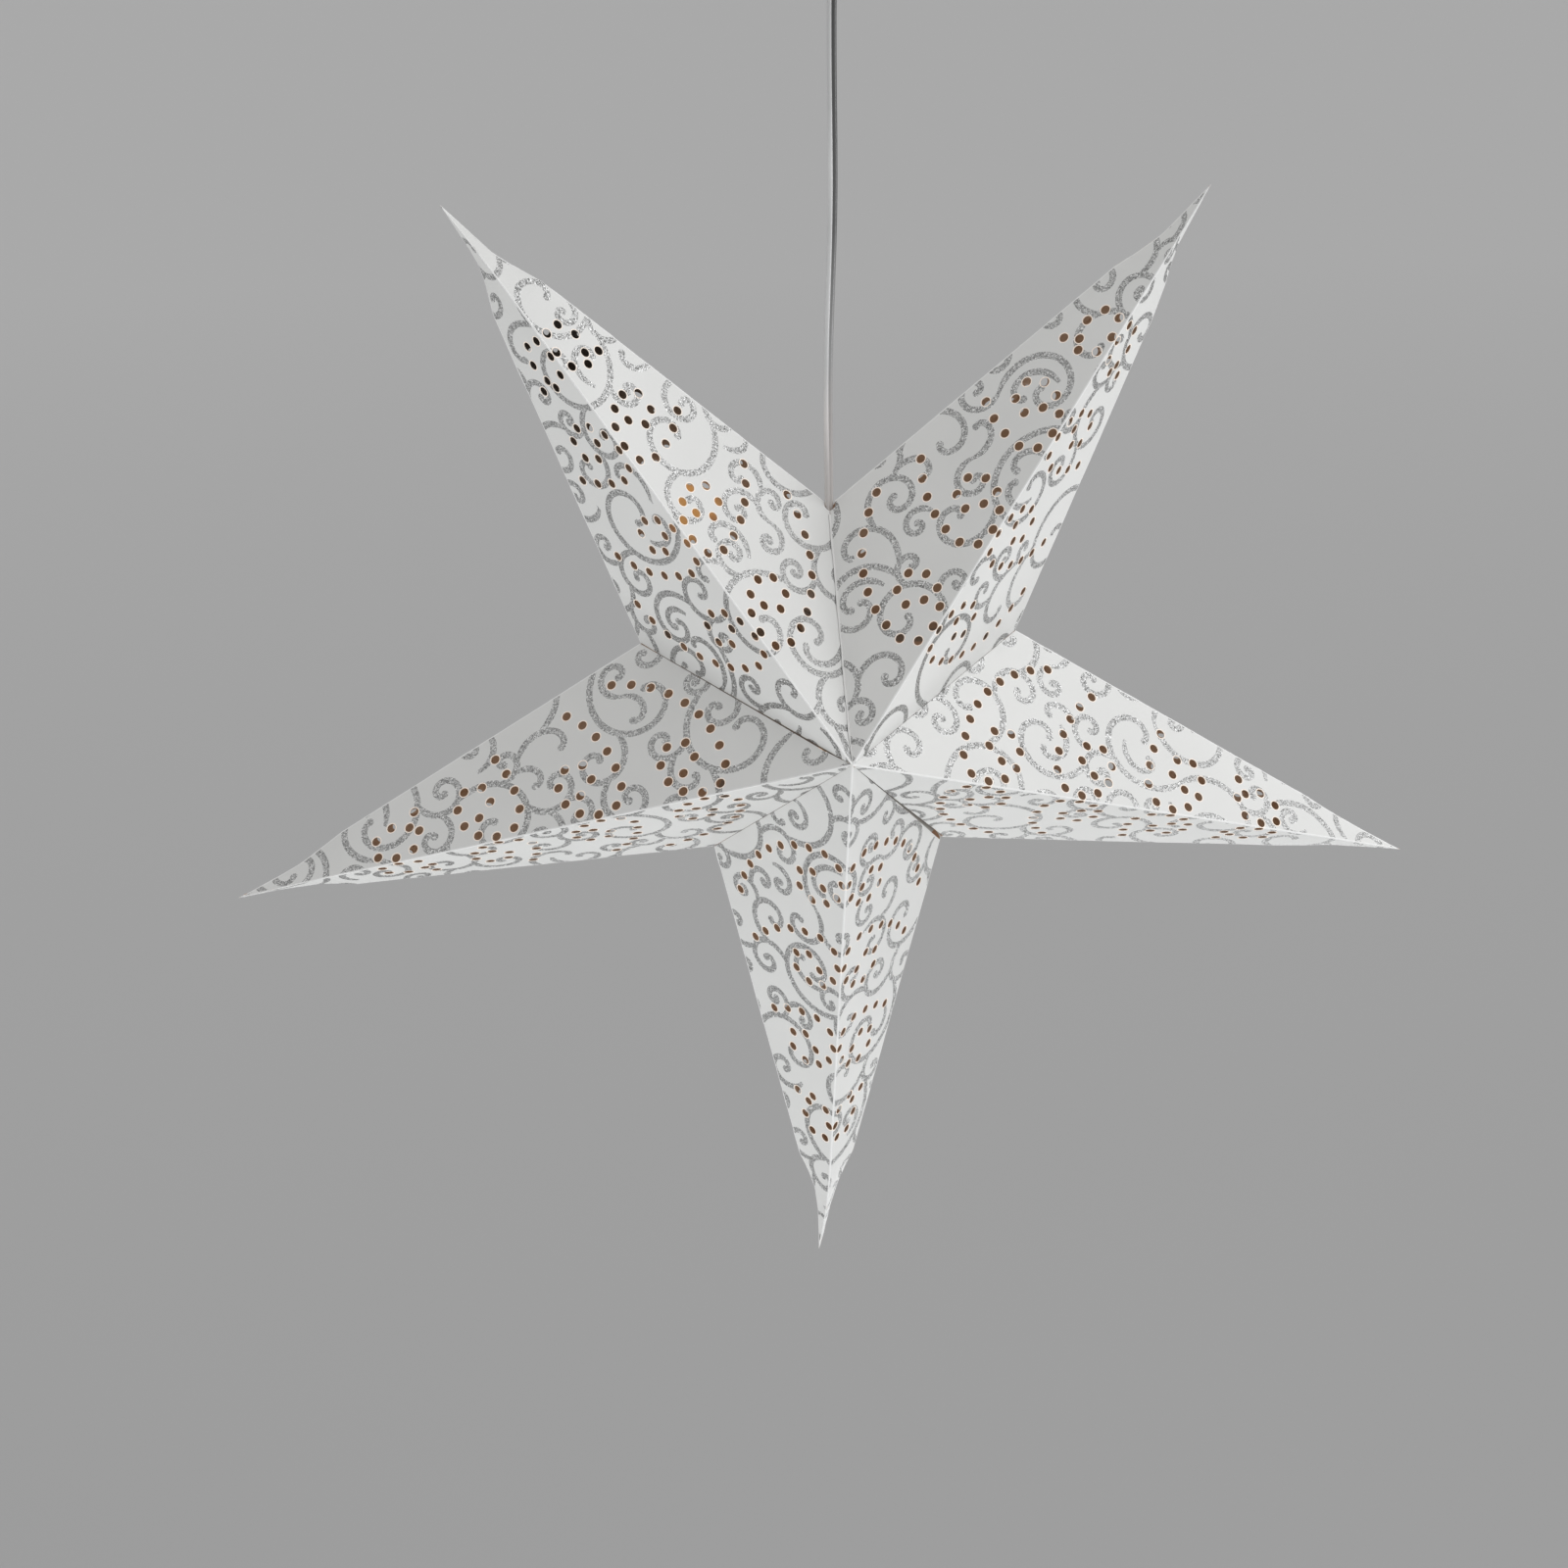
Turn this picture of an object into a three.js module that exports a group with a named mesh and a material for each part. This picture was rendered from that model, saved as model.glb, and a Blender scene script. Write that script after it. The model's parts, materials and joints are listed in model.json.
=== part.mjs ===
// Five-armed folded paper star on a lamp cord, in millimetres, +Z up, front facing -Y.
// The origin is the middle of the ceiling bracket's top face. The star hangs below it.
import * as THREE from "three";
import { mergeVertices } from "three/addons/utils/BufferGeometryUtils.js";

// star
const STAR_BELOW_CEILING = 430;
const TIP_RADIUS = 330;
const NOTCH_RADIUS = 104;
const HALF_DEPTH = 104;
const CARD = 0.6;
const CREASE_INSET = 1.1;
const ARM_TIP_DEG = { bottom: -90, right: -18, top_right: 54, top_left: 126, left: 198 };
const HALF_ARM_DEG = 36;
const CORD_NOTCH_DEG = 90;
const CORD_HOLE_RADIUS = 4.5;

// glue flaps and closing strips along the seams between arms
const FLAP_WIDTH = 10;
const FLAP_CLEAR = 1.6;
const FLAP_GAP = 0.35;
const FLAP_SPAN = [0.14, 0.93];
const FLAP_TAPER = 0.06;
const STRIP_WIDTH = 10;
const STRIP_CLEAR = 1.5;
const STRIP_OFFSET = 0.4;

// cord and its ends
const CORD_RADIUS = 2.1;
const CORD_SIDES = 8;
const CORD_STEPS = 36;
const CORD_TOP = -57;
const CORD_BOTTOM_OVER_STAR = 64;
const CORD_WAVE = 1.6;
const SLEEVE_PIVOT = -45;
const SLEEVE_BOTTOM = -56;
const SLEEVE_TOP_RADIUS = 3.4;
const SLEEVE_BOTTOM_RADIUS = 2.7;

// ceiling fitting
const CUP_RADIUS = 46;
const CUP_HEIGHT = 38;
const CUP_WALL = 1.6;
const BRACKET = { length: 78, width: 15, thick: 2, hole: 2.5, holeAt: 25 };
const SCREW = { head: 4.3, headHeight: 2.4, shank: 1.9, above: 20 };
const GRIP = { flange: 8, neck: 4.8, bore: 2.9, bottom: -41, top: -30 };

// lampholder and bulb, with heights measured from the star's centre
const HOLDER_RADIUS = 14;
const HOLDER_TOP = 62;
const HOLDER_SPLIT = 35.7;
const HOLDER_BOTTOM = -2;
const HOLDER_WALL = 2.2;
const THREAD_RADIUS = 6.9;
const THREAD_PITCH = 2.8;
const THREAD_TURNS = 7;
const GLOBE_RADIUS = 22.5;
const GLOBE_CENTRE = -38;
const WIRE_RADIUS = 1;

const STAR_CENTRE = new THREE.Vector3(0, 0, -STAR_BELOW_CEILING);
const part = new THREE.Group();

const FINISHES = {
  card: { color: 0xeceae4, roughness: 0.6, metalness: 0 },
  card_edge: { color: 0xf4f2ec, roughness: 0.75, metalness: 0 },
  white_plastic: { color: 0xe9e8e3, roughness: 0.35, metalness: 0 },
  cord_plastic: { color: 0xdedbd2, roughness: 0.3, metalness: 0 },
  steel: { color: 0xb4b6b8, roughness: 0.35, metalness: 1 },
  brass: { color: 0xc9a35a, roughness: 0.3, metalness: 1 },
  ceramic: { color: 0xe4e0d6, roughness: 0.5, metalness: 0 },
  bulb_globe: { color: 0xf3ead8, roughness: 0.3, metalness: 0 },
};

// Welds a geometry, drops empty triangles and turns its faces outward.
function solid(geometry) {
  geometry.deleteAttribute("uv");
  geometry.deleteAttribute("normal");
  const welded = mergeVertices(geometry, 1e-4);
  const index = welded.index.array;
  const at = welded.attributes.position;
  const corner = [new THREE.Vector3(), new THREE.Vector3(), new THREE.Vector3()];
  const kept = [];
  let volume = 0;
  for (let i = 0; i < index.length; i += 3) {
    const face = [index[i], index[i + 1], index[i + 2]];
    if (new Set(face).size < 3) continue;
    face.forEach((v, k) => corner[k].fromBufferAttribute(at, v));
    volume += corner[0].dot(corner[1].clone().cross(corner[2]));
    kept.push(face);
  }
  const ordered = volume < 0 ? kept.map(([a, b, c]) => [a, c, b]) : kept;
  welded.setIndex(ordered.flat());
  welded.computeVertexNormals();
  return welded;
}

function add(name, geometry, finish) {
  const mesh = new THREE.Mesh(solid(geometry), new THREE.MeshStandardMaterial(FINISHES[finish]));
  mesh.name = name;
  part.add(mesh);
}

// A body of revolution about the part's vertical axis. A ring's profile closes on itself.
function turned(profile, segments, closed, base = 0) {
  const points = profile.map(([r, z]) => new THREE.Vector2(r, z + base));
  if (closed) points.push(points[0].clone());
  return new THREE.LatheGeometry(points, segments).rotateX(Math.PI / 2);
}

// A flat convex plate: the polygon, and the same polygon moved by the offset.
function plate(polygon, offset) {
  const n = polygon.length;
  const far = polygon.map((p) => p.clone().add(offset));
  const geometry = new THREE.BufferGeometry().setFromPoints([...polygon, ...far]);
  const faces = [];
  for (let i = 1; i < n - 1; i += 1) {
    faces.push(0, i, i + 1, n, n + i + 1, n + i);
  }
  for (let i = 0; i < n; i += 1) {
    const j = (i + 1) % n;
    faces.push(i, n + i, j, j, n + i, n + j);
  }
  geometry.setIndex(faces);
  return geometry;
}

function tube(points, radius, sides, steps) {
  const circle = new THREE.Shape();
  for (let i = 0; i < sides; i += 1) {
    const turn = (2 * Math.PI * i) / sides;
    const [x, y] = [radius * Math.cos(turn), radius * Math.sin(turn)];
    if (i === 0) circle.moveTo(x, y);
    else circle.lineTo(x, y);
  }
  circle.closePath();
  const path = new THREE.CatmullRomCurve3(points.map(([x, y, z]) => new THREE.Vector3(x, y, z)));
  return new THREE.ExtrudeGeometry(circle, { steps, bevelEnabled: false, extrudePath: path });
}

// The polygon with every edge moved inward by the inset, within its own plane.
function inset(polygon, distance) {
  const n = polygon.length;
  const normal = polygon[1].clone().sub(polygon[0]).cross(polygon[2].clone().sub(polygon[0])).normalize();
  const along = polygon.map((p, i) => polygon[(i + 1) % n].clone().sub(p).normalize());
  return polygon.map((p, i) => {
    const before = along[(i + n - 1) % n];
    const after = along[i];
    const inwardBefore = normal.clone().cross(before);
    const inwardAfter = normal.clone().cross(after);
    const reach = distance / (1 + inwardBefore.dot(inwardAfter));
    return p.clone().addScaledVector(inwardBefore.add(inwardAfter), reach);
  });
}

// What is left of a convex polygon beyond a vertical cut at a distance from the part's axis.
function cutAroundAxis(polygon, distance) {
  const middle = new THREE.Vector3();
  polygon.forEach((p) => middle.add(p));
  const way = middle.setZ(0).normalize();
  const kept = [];
  polygon.forEach((p, i) => {
    const next = polygon[(i + 1) % polygon.length];
    const [here, there] = [p.dot(way) - distance, next.dot(way) - distance];
    if (here >= 0) kept.push(p);
    if (here * there < 0) kept.push(p.clone().lerp(next, here / (here - there)));
  });
  return kept;
}

function onStar(radius, degrees) {
  const turn = THREE.MathUtils.degToRad(degrees);
  return new THREE.Vector3(radius * Math.cos(turn), 0, radius * Math.sin(turn)).add(STAR_CENTRE);
}

// The way into the star from a facet given by three of its points.
function inward(a, b, c) {
  const normal = b.clone().sub(a).cross(c.clone().sub(a)).normalize();
  const toMiddle = STAR_CENTRE.clone().sub(a);
  return normal.dot(toMiddle) < 0 ? normal.negate() : normal;
}

const APEX = {
  front: STAR_CENTRE.clone().add(new THREE.Vector3(0, -HALF_DEPTH, 0)),
  back: STAR_CENTRE.clone().add(new THREE.Vector3(0, HALF_DEPTH, 0)),
};

// arms: four facets each, meeting at the ridges and the side creases
for (const [arm, tipDeg] of Object.entries(ARM_TIP_DEG)) {
  const tip = onStar(TIP_RADIUS, tipDeg);
  for (const [side, apex] of Object.entries(APEX)) {
    for (const [hand, sign] of [["left", 1], ["right", -1]]) {
      const notchDeg = tipDeg + sign * HALF_ARM_DEG;
      const notch = onStar(NOTCH_RADIUS, notchDeg);
      const way = inward(apex, notch, tip);
      const whole = inset([apex, notch, tip], CREASE_INSET);
      const facet = notchDeg === CORD_NOTCH_DEG ? cutAroundAxis(whole, CORD_HOLE_RADIUS) : whole;
      add(`panel_${arm}_${side}_${hand}`, plate(facet, way.multiplyScalar(CARD)), "card");
    }
  }
}

// glue flaps, each lying on the inside of the facet that it is stuck to
const GLUED_SEAMS = {
  upper_right: { notchDeg: 18, tipDeg: ARM_TIP_DEG.right },
  lower_right: { notchDeg: -54, tipDeg: ARM_TIP_DEG.bottom },
  lower_left: { notchDeg: 234, tipDeg: ARM_TIP_DEG.left },
  upper_left: { notchDeg: 162, tipDeg: ARM_TIP_DEG.top_left },
};
for (const [seam, { notchDeg, tipDeg }] of Object.entries(GLUED_SEAMS)) {
  const notch = onStar(NOTCH_RADIUS, notchDeg);
  const tip = onStar(TIP_RADIUS, tipDeg);
  for (const [side, apex] of Object.entries(APEX)) {
    const way = inward(apex, notch, tip);
    const edge = notch.clone().sub(apex);
    const across = tip.clone().sub(apex);
    across.addScaledVector(edge, -across.dot(edge) / edge.lengthSq()).normalize();
    const at = (share, out) =>
      apex
        .clone()
        .addScaledVector(edge, share)
        .addScaledVector(across, out)
        .addScaledVector(way, CARD + FLAP_GAP);
    const flap = [
      at(FLAP_SPAN[0], FLAP_CLEAR),
      at(FLAP_SPAN[1], FLAP_CLEAR),
      at(FLAP_SPAN[1] - FLAP_TAPER, FLAP_CLEAR + FLAP_WIDTH),
      at(FLAP_SPAN[0] + FLAP_TAPER, FLAP_CLEAR + FLAP_WIDTH),
    ];
    add(`flap_${seam}_${side}`, plate(flap, way.clone().multiplyScalar(CARD)), "card_edge");
  }
}

// closing strips of the top seam, standing face to face inside the star
const TOP_NOTCH = onStar(NOTCH_RADIUS, CORD_NOTCH_DEG);
function seamPoint(apex, share, deep, x) {
  const edge = TOP_NOTCH.clone().sub(apex);
  const toMiddle = STAR_CENTRE.clone().sub(apex);
  const down = toMiddle.addScaledVector(edge, -toMiddle.dot(edge) / edge.lengthSq()).normalize();
  const point = apex.clone().addScaledVector(edge, share).addScaledVector(down, deep);
  point.x = x;
  return point;
}
for (const [side, apex] of Object.entries(APEX)) {
  for (const [hand, sign] of [["left", -1], ["right", 1]]) {
    const x = sign * STRIP_OFFSET;
    const strip = [
      seamPoint(apex, FLAP_SPAN[0], STRIP_CLEAR, x),
      seamPoint(apex, FLAP_SPAN[1] - FLAP_TAPER, STRIP_CLEAR, x),
      seamPoint(apex, FLAP_SPAN[1] - 2 * FLAP_TAPER, STRIP_CLEAR + STRIP_WIDTH, x),
      seamPoint(apex, FLAP_SPAN[0] + FLAP_TAPER, STRIP_CLEAR + STRIP_WIDTH, x),
    ];
    add(`closing_strip_${side}_${hand}`, plate(strip, new THREE.Vector3(sign * CARD, 0, 0)), "card_edge");
  }
}

// ceiling fitting
const wall = CUP_WALL;
add(
  "ceiling_cup",
  turned(
    [
      [CUP_RADIUS, 0],
      [CUP_RADIUS, -12],
      [CUP_RADIUS - 1.5, -19],
      [CUP_RADIUS - 6, -27],
      [CUP_RADIUS - 14, -33],
      [CUP_RADIUS - 28, -36.6],
      [9, -CUP_HEIGHT],
      [5.2, -CUP_HEIGHT],
      [5.2, wall - CUP_HEIGHT],
      [9, wall - CUP_HEIGHT],
      [CUP_RADIUS - 28.3, wall - 36.6],
      [CUP_RADIUS - 14.8, wall - 33],
      [CUP_RADIUS - 7.3, -26],
      [CUP_RADIUS - 3.1, -18.6],
      [CUP_RADIUS - wall, -11.8],
      [CUP_RADIUS - wall, 0],
    ],
    40,
    true,
  ),
  "white_plastic",
);

const strap = new THREE.Shape();
strap.moveTo(-BRACKET.length / 2, -BRACKET.width / 2);
strap.lineTo(BRACKET.length / 2, -BRACKET.width / 2);
strap.lineTo(BRACKET.length / 2, BRACKET.width / 2);
strap.lineTo(-BRACKET.length / 2, BRACKET.width / 2);
strap.closePath();
for (const sign of [-1, 1]) {
  const hole = new THREE.Path();
  hole.absarc(sign * BRACKET.holeAt, 0, BRACKET.hole, 0, 2 * Math.PI, true);
  strap.holes.push(hole);
}
add(
  "mounting_bracket",
  new THREE.ExtrudeGeometry(strap, {
    depth: BRACKET.thick,
    bevelEnabled: false,
    curveSegments: 20,
  }).translate(0, 0, -BRACKET.thick),
  "steel",
);

const screwTop = -BRACKET.thick - 0.3;
for (const [name, sign] of [["a", -1], ["b", 1]]) {
  const profile = [
    [0, screwTop - SCREW.headHeight],
    [SCREW.head - 1.4, screwTop - SCREW.headHeight],
    [SCREW.head, screwTop - 0.9],
    [SCREW.head, screwTop],
    [SCREW.shank, screwTop],
    [SCREW.shank, SCREW.above - 5],
    [0, SCREW.above],
  ];
  add(`bracket_screw_${name}`, turned(profile, 20, false).translate(sign * BRACKET.holeAt, 0, 0), "steel");
}

add(
  "cord_grip",
  turned(
    [
      [GRIP.bore, GRIP.bottom],
      [GRIP.flange - 1.5, GRIP.bottom],
      [GRIP.flange, GRIP.bottom + 1.2],
      [GRIP.flange, -CUP_HEIGHT - 0.3],
      [GRIP.neck, -CUP_HEIGHT - 0.3],
      [GRIP.neck, GRIP.top],
      [GRIP.bore, GRIP.top],
    ],
    24,
    true,
  ),
  "white_plastic",
);

const nut = new THREE.Shape();
for (let i = 0; i < 6; i += 1) {
  const turn = (Math.PI * i) / 3;
  const [x, y] = [9 * Math.cos(turn), 9 * Math.sin(turn)];
  if (i === 0) nut.moveTo(x, y);
  else nut.lineTo(x, y);
}
nut.closePath();
const nutHole = new THREE.Path();
nutHole.absarc(0, 0, GRIP.neck + 0.3, 0, 2 * Math.PI, true);
nut.holes.push(nutHole);
add(
  "grip_nut",
  new THREE.ExtrudeGeometry(nut, { depth: 4, bevelEnabled: false, curveSegments: 24 }).translate(0, 0, -36),
  "white_plastic",
);

// terminal block: two raised screw towers on one base, seen from the front
const towers = new THREE.Shape();
const towerOutline = [
  [-11, -2.4],
  [-11, -8],
  [-9, -8],
  [-9, -15],
  [-2.8, -15],
  [-2.8, -9],
  [2.8, -9],
  [2.8, -15],
  [9, -15],
  [9, -8],
  [11, -8],
  [11, -2.4],
];
towerOutline.forEach(([x, z], i) => (i === 0 ? towers.moveTo(x, z) : towers.lineTo(x, z)));
towers.closePath();
add(
  "terminal_block",
  new THREE.ExtrudeGeometry(towers, { depth: 13, bevelEnabled: false })
    .translate(0, 0, -6.5)
    .rotateX(Math.PI / 2),
  "ceramic",
);
add("cord_tail", tube([[0, 0, -40.5], [0, 0, -27], [0, 0, -9.4]], CORD_RADIUS, CORD_SIDES, 8), "cord_plastic");

// the sleeve's round top turns freely about its pivot, under the grip
const sleeve = [];
for (let i = 0; i <= 6; i += 1) {
  const turn = (Math.PI / 2) * (1 - i / 6);
  const [r, up] = [SLEEVE_TOP_RADIUS * Math.cos(turn), SLEEVE_TOP_RADIUS * Math.sin(turn)];
  sleeve.push([r, SLEEVE_PIVOT + up]);
}
sleeve[0][0] = 0;
sleeve.push([SLEEVE_BOTTOM_RADIUS, SLEEVE_BOTTOM], [0, SLEEVE_BOTTOM]);
add("cord_sleeve", turned(sleeve, 20, false), "white_plastic");

// the cord hangs straight but for a slight wave left by its packing
const cordBottom = CORD_BOTTOM_OVER_STAR - STAR_BELOW_CEILING;
const cordRoute = [];
for (let i = 0; i <= 12; i += 1) {
  const share = i / 12;
  const fade = Math.sin(Math.PI * share) ** 2;
  const x = CORD_WAVE * fade * Math.sin(2 * Math.PI * share);
  cordRoute.push([x, 0.6 * x, CORD_TOP + (cordBottom - CORD_TOP) * share]);
}
add("cord", tube(cordRoute, CORD_RADIUS, CORD_SIDES, CORD_STEPS), "cord_plastic");

// lampholder
const under = -STAR_BELOW_CEILING;
const bore = CORD_RADIUS + 0.6;
add(
  "strain_relief",
  turned(
    [
      [bore, HOLDER_TOP + 0.3],
      [5.6, HOLDER_TOP + 0.3],
      [5.6, HOLDER_TOP + 4],
      [4.6, HOLDER_TOP + 6],
      [3.4, HOLDER_TOP + 18],
      [bore, HOLDER_TOP + 18],
    ],
    24,
    true,
    under,
  ),
  "white_plastic",
);
const holderInner = HOLDER_RADIUS - HOLDER_WALL;
add(
  "holder_cap",
  turned(
    [
      [HOLDER_RADIUS, HOLDER_SPLIT + 0.3],
      [HOLDER_RADIUS, HOLDER_TOP - 9],
      [HOLDER_RADIUS - 1.6, HOLDER_TOP - 4],
      [HOLDER_RADIUS - 5, HOLDER_TOP - 0.8],
      [HOLDER_RADIUS - 8, HOLDER_TOP],
      [bore, HOLDER_TOP],
      [bore, HOLDER_TOP - 2.4],
      [HOLDER_RADIUS - 7, HOLDER_TOP - 3],
      [holderInner - 1.4, HOLDER_TOP - 6],
      [holderInner, HOLDER_TOP - 10],
      [holderInner, HOLDER_SPLIT + 0.3],
    ],
    32,
    true,
    under,
  ),
  "white_plastic",
);
add(
  "holder_shell",
  turned(
    [
      [holderInner, HOLDER_BOTTOM],
      [HOLDER_RADIUS + 0.6, HOLDER_BOTTOM],
      [HOLDER_RADIUS + 0.6, HOLDER_BOTTOM + 3],
      [HOLDER_RADIUS, HOLDER_BOTTOM + 4],
      [HOLDER_RADIUS, HOLDER_SPLIT],
      [holderInner, HOLDER_SPLIT],
    ],
    32,
    true,
    under,
  ),
  "white_plastic",
);
add(
  "contact_carrier",
  turned([[0, 25.5], [holderInner - 0.4, 25.5], [holderInner - 0.4, 33], [0, 33]], 24, false, under),
  "ceramic",
);
add("centre_contact", turned([[0, 24.2], [3, 24.2], [3, 25.2], [0, 25.2]], 16, false, under), "brass");

const threadInner = THREAD_RADIUS + 0.5;
add(
  "threaded_sleeve",
  turned([[threadInner, 3], [threadInner + 0.6, 3], [threadInner + 0.6, 25.2], [threadInner, 25.2]], 28, true, under),
  "brass",
);
add(
  "hanger_collar",
  turned(
    [
      [HOLDER_RADIUS + 0.3, HOLDER_TOP - 18],
      [HOLDER_RADIUS + 1.9, HOLDER_TOP - 18],
      [HOLDER_RADIUS + 1.9, HOLDER_TOP - 13],
      [HOLDER_RADIUS + 0.3, HOLDER_TOP - 13],
    ],
    28,
    true,
    under,
  ),
  "steel",
);
// wire arms from the collar, out under the closing strips that the star hangs by
for (const [side, apex] of Object.entries(APEX)) {
  const sign = side === "front" ? -1 : 1;
  const rest = seamPoint(apex, 0.7, STRIP_CLEAR + STRIP_WIDTH + 0.4 + WIRE_RADIUS, 0);
  const end = seamPoint(apex, 0.63, STRIP_CLEAR + STRIP_WIDTH + 0.4 + WIRE_RADIUS, 0);
  const start = HOLDER_RADIUS + 1.9 + 0.3 + WIRE_RADIUS;
  const route = [
    [0, sign * start, under + HOLDER_TOP - 26],
    [0, sign * start, under + HOLDER_TOP - 18],
    [0, sign * (start + 3), under + HOLDER_TOP - 10],
    [0, rest.y, rest.z],
    [0, end.y, end.z],
  ];
  add(`hanger_arm_${side}`, tube(route, WIRE_RADIUS, 8, 24), "steel");
}

// bulb
const threadTop = 22;
const threadBottom = threadTop - THREAD_PITCH * THREAD_TURNS;
const cap = [[0, -3.6], [THREAD_RADIUS - 0.3, -3.6], [THREAD_RADIUS - 0.3, threadBottom]];
for (let i = 0; i < THREAD_TURNS; i += 1) {
  const z = threadBottom + i * THREAD_PITCH;
  cap.push([THREAD_RADIUS, z + 0.35 * THREAD_PITCH], [THREAD_RADIUS, z + 0.65 * THREAD_PITCH]);
  cap.push([THREAD_RADIUS - 0.6, z + THREAD_PITCH]);
}
cap.push([0, threadTop]);
add("bulb_cap", turned(cap, 24, false, under), "steel");
add("bulb_tip", turned([[0, 22.3], [3.4, 22.3], [2.4, 23.9], [0, 23.9]], 16, false, under), "brass");
add(
  "bulb_housing",
  turned(
    [[0, -3.9], [9, -3.9], [11, -8], [15.2, -18], [GLOBE_RADIUS - 4.6, -23.6], [0, -23.6]],
    32,
    false,
    under,
  ),
  "white_plastic",
);
const globe = [[0, GLOBE_CENTRE - GLOBE_RADIUS]];
const globeSteps = 14;
const globeTopTurn = Math.acos((-23.9 - GLOBE_CENTRE) / GLOBE_RADIUS);
for (let i = 1; i <= globeSteps; i += 1) {
  const turn = Math.PI + ((globeTopTurn - Math.PI) * i) / globeSteps;
  globe.push([GLOBE_RADIUS * Math.sin(turn), GLOBE_CENTRE + GLOBE_RADIUS * Math.cos(turn)]);
}
globe.push([0, -23.9]);
add("bulb_globe", turned(globe, 32, false, under), "bulb_globe");

export default part;
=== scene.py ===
"""The paper snowflake star's looks: folded, printed and punched card, cord and lamp."""

import json
import math
import random

import bmesh
import bpy
import numpy as np
from mathutils import Matrix, Vector, kdtree
from mathutils.geometry import delaunay_2d_cdt


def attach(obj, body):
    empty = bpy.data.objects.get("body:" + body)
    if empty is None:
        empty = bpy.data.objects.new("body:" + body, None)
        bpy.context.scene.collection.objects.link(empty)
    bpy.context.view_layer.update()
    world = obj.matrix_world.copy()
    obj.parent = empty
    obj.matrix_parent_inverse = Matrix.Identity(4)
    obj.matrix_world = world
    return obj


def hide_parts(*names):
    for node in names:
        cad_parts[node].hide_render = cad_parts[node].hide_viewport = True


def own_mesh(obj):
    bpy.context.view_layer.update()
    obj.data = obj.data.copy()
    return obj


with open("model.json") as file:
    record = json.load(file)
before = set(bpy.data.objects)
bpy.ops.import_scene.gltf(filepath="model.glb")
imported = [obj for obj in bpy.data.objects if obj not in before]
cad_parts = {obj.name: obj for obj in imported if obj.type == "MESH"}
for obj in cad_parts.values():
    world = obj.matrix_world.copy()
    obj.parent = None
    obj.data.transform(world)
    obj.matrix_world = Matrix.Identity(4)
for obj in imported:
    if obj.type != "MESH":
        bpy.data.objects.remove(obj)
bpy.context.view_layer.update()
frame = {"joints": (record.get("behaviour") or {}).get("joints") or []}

MM = 0.001

# Star, in metres. Its centre is where the arms' fold joints turn. Turns are in degrees.
JOINTS = {joint["name"]: joint for joint in frame["joints"]}
CENTRE = Vector(JOINTS["fold_right"]["pos_m"])
TIP_RADIUS = 0.330
NOTCH_RADIUS = 0.104
HALF_DEPTH = 0.104
ARM_STEP = 72
ARM_TURN = {"bottom": -90, "right": -18, "top_right": 54, "top_left": 126, "left": 198}
TOP_NOTCH = 90
FACES = ("front", "back")
HANDS = ("left", "right")


def on_star(radius, degrees):
    """The point at a radius and a turn in the star's upright middle plane."""
    turn = math.radians(degrees)
    return CENTRE + radius * Vector((math.cos(turn), 0, math.sin(turn)))


def arm_side(arm):
    """The direction across an arm, to the left of the way it points, seen from the front."""
    turn = math.radians(ARM_TURN[arm])
    return Vector((-math.sin(turn), 0, math.cos(turn)))


def apex(face):
    """The star's frontmost or backmost point, where the arms' ridges meet."""
    return CENTRE + Vector((0, -HALF_DEPTH if face == "front" else HALF_DEPTH, 0))


def linked(name, data):
    obj = bpy.data.objects.new(name, data)
    bpy.context.scene.collection.objects.link(obj)
    return obj


# -------- camera


def place_camera():
    """The camera stands left of the star's axis and above it, looking slightly down."""
    away = Vector((-0.2175, -1.8306, 0.6783))
    look = Vector((0.098, 0.925, -0.368))
    data = bpy.data.cameras.new("camera")
    data.lens = 85.6
    data.sensor_width = 36
    camera = linked("camera", data)
    camera.location = CENTRE + away
    camera.rotation_euler = look.to_track_quat("-Z", "Y").to_euler()
    bpy.context.scene.camera = camera


place_camera()


# -------- node helpers


def adjust(made, settings):
    """Sets a node's own settings and its sockets by name, _ standing for a space."""
    for key, value in settings.items():
        if hasattr(made, key):
            setattr(made, key, value)
        else:
            made.inputs[key.replace("_", " ")].default_value = value


def new_material(name, **settings):
    """A new material, its node tree and its principled shader, which gets the settings."""
    material = bpy.data.materials.new(name)
    material.use_nodes = True
    shader = material.node_tree.nodes["Principled BSDF"]
    adjust(shader, settings)
    return material, material.node_tree, shader


def join(source, target, socket):
    """Feeds a source, which is (node, output), into a node's socket."""
    maker, output = source
    target.id_data.links.new(maker.outputs[output], target.inputs[socket])


def node(tree, kind, sources=(), **settings):
    """A new node with (socket, source) pairs joined up."""
    made = tree.nodes.new("ShaderNode" + kind)
    adjust(made, settings)
    for socket, source in sources:
        join(source, made, socket)
    return made


def place(tree):
    """Where a point of the surface is, in metres, as a source."""
    return node(tree, "TexCoord"), "Object"


def coordinate(tree, axis):
    return node(tree, "SeparateXYZ", [("Vector", place(tree))]), axis


def grey(value):
    return (value, value, value, 1)


def ramp(tree, source, stops):
    made = node(tree, "ValToRGB", [("Fac", source)])
    elements = made.color_ramp.elements
    while len(elements) < len(stops):
        elements.new(0.5)
    for element, (where, colour) in zip(elements, stops):
        element.position = where
        element.color = colour
    return made, "Color"


def ramp_between(tree, source, low, high, stops):
    """A ramp over a source's values from low to high."""
    share = node(tree, "MapRange", [("Value", source)], From_Min=low, From_Max=high)
    return ramp(tree, (share, "Result"), stops)


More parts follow.
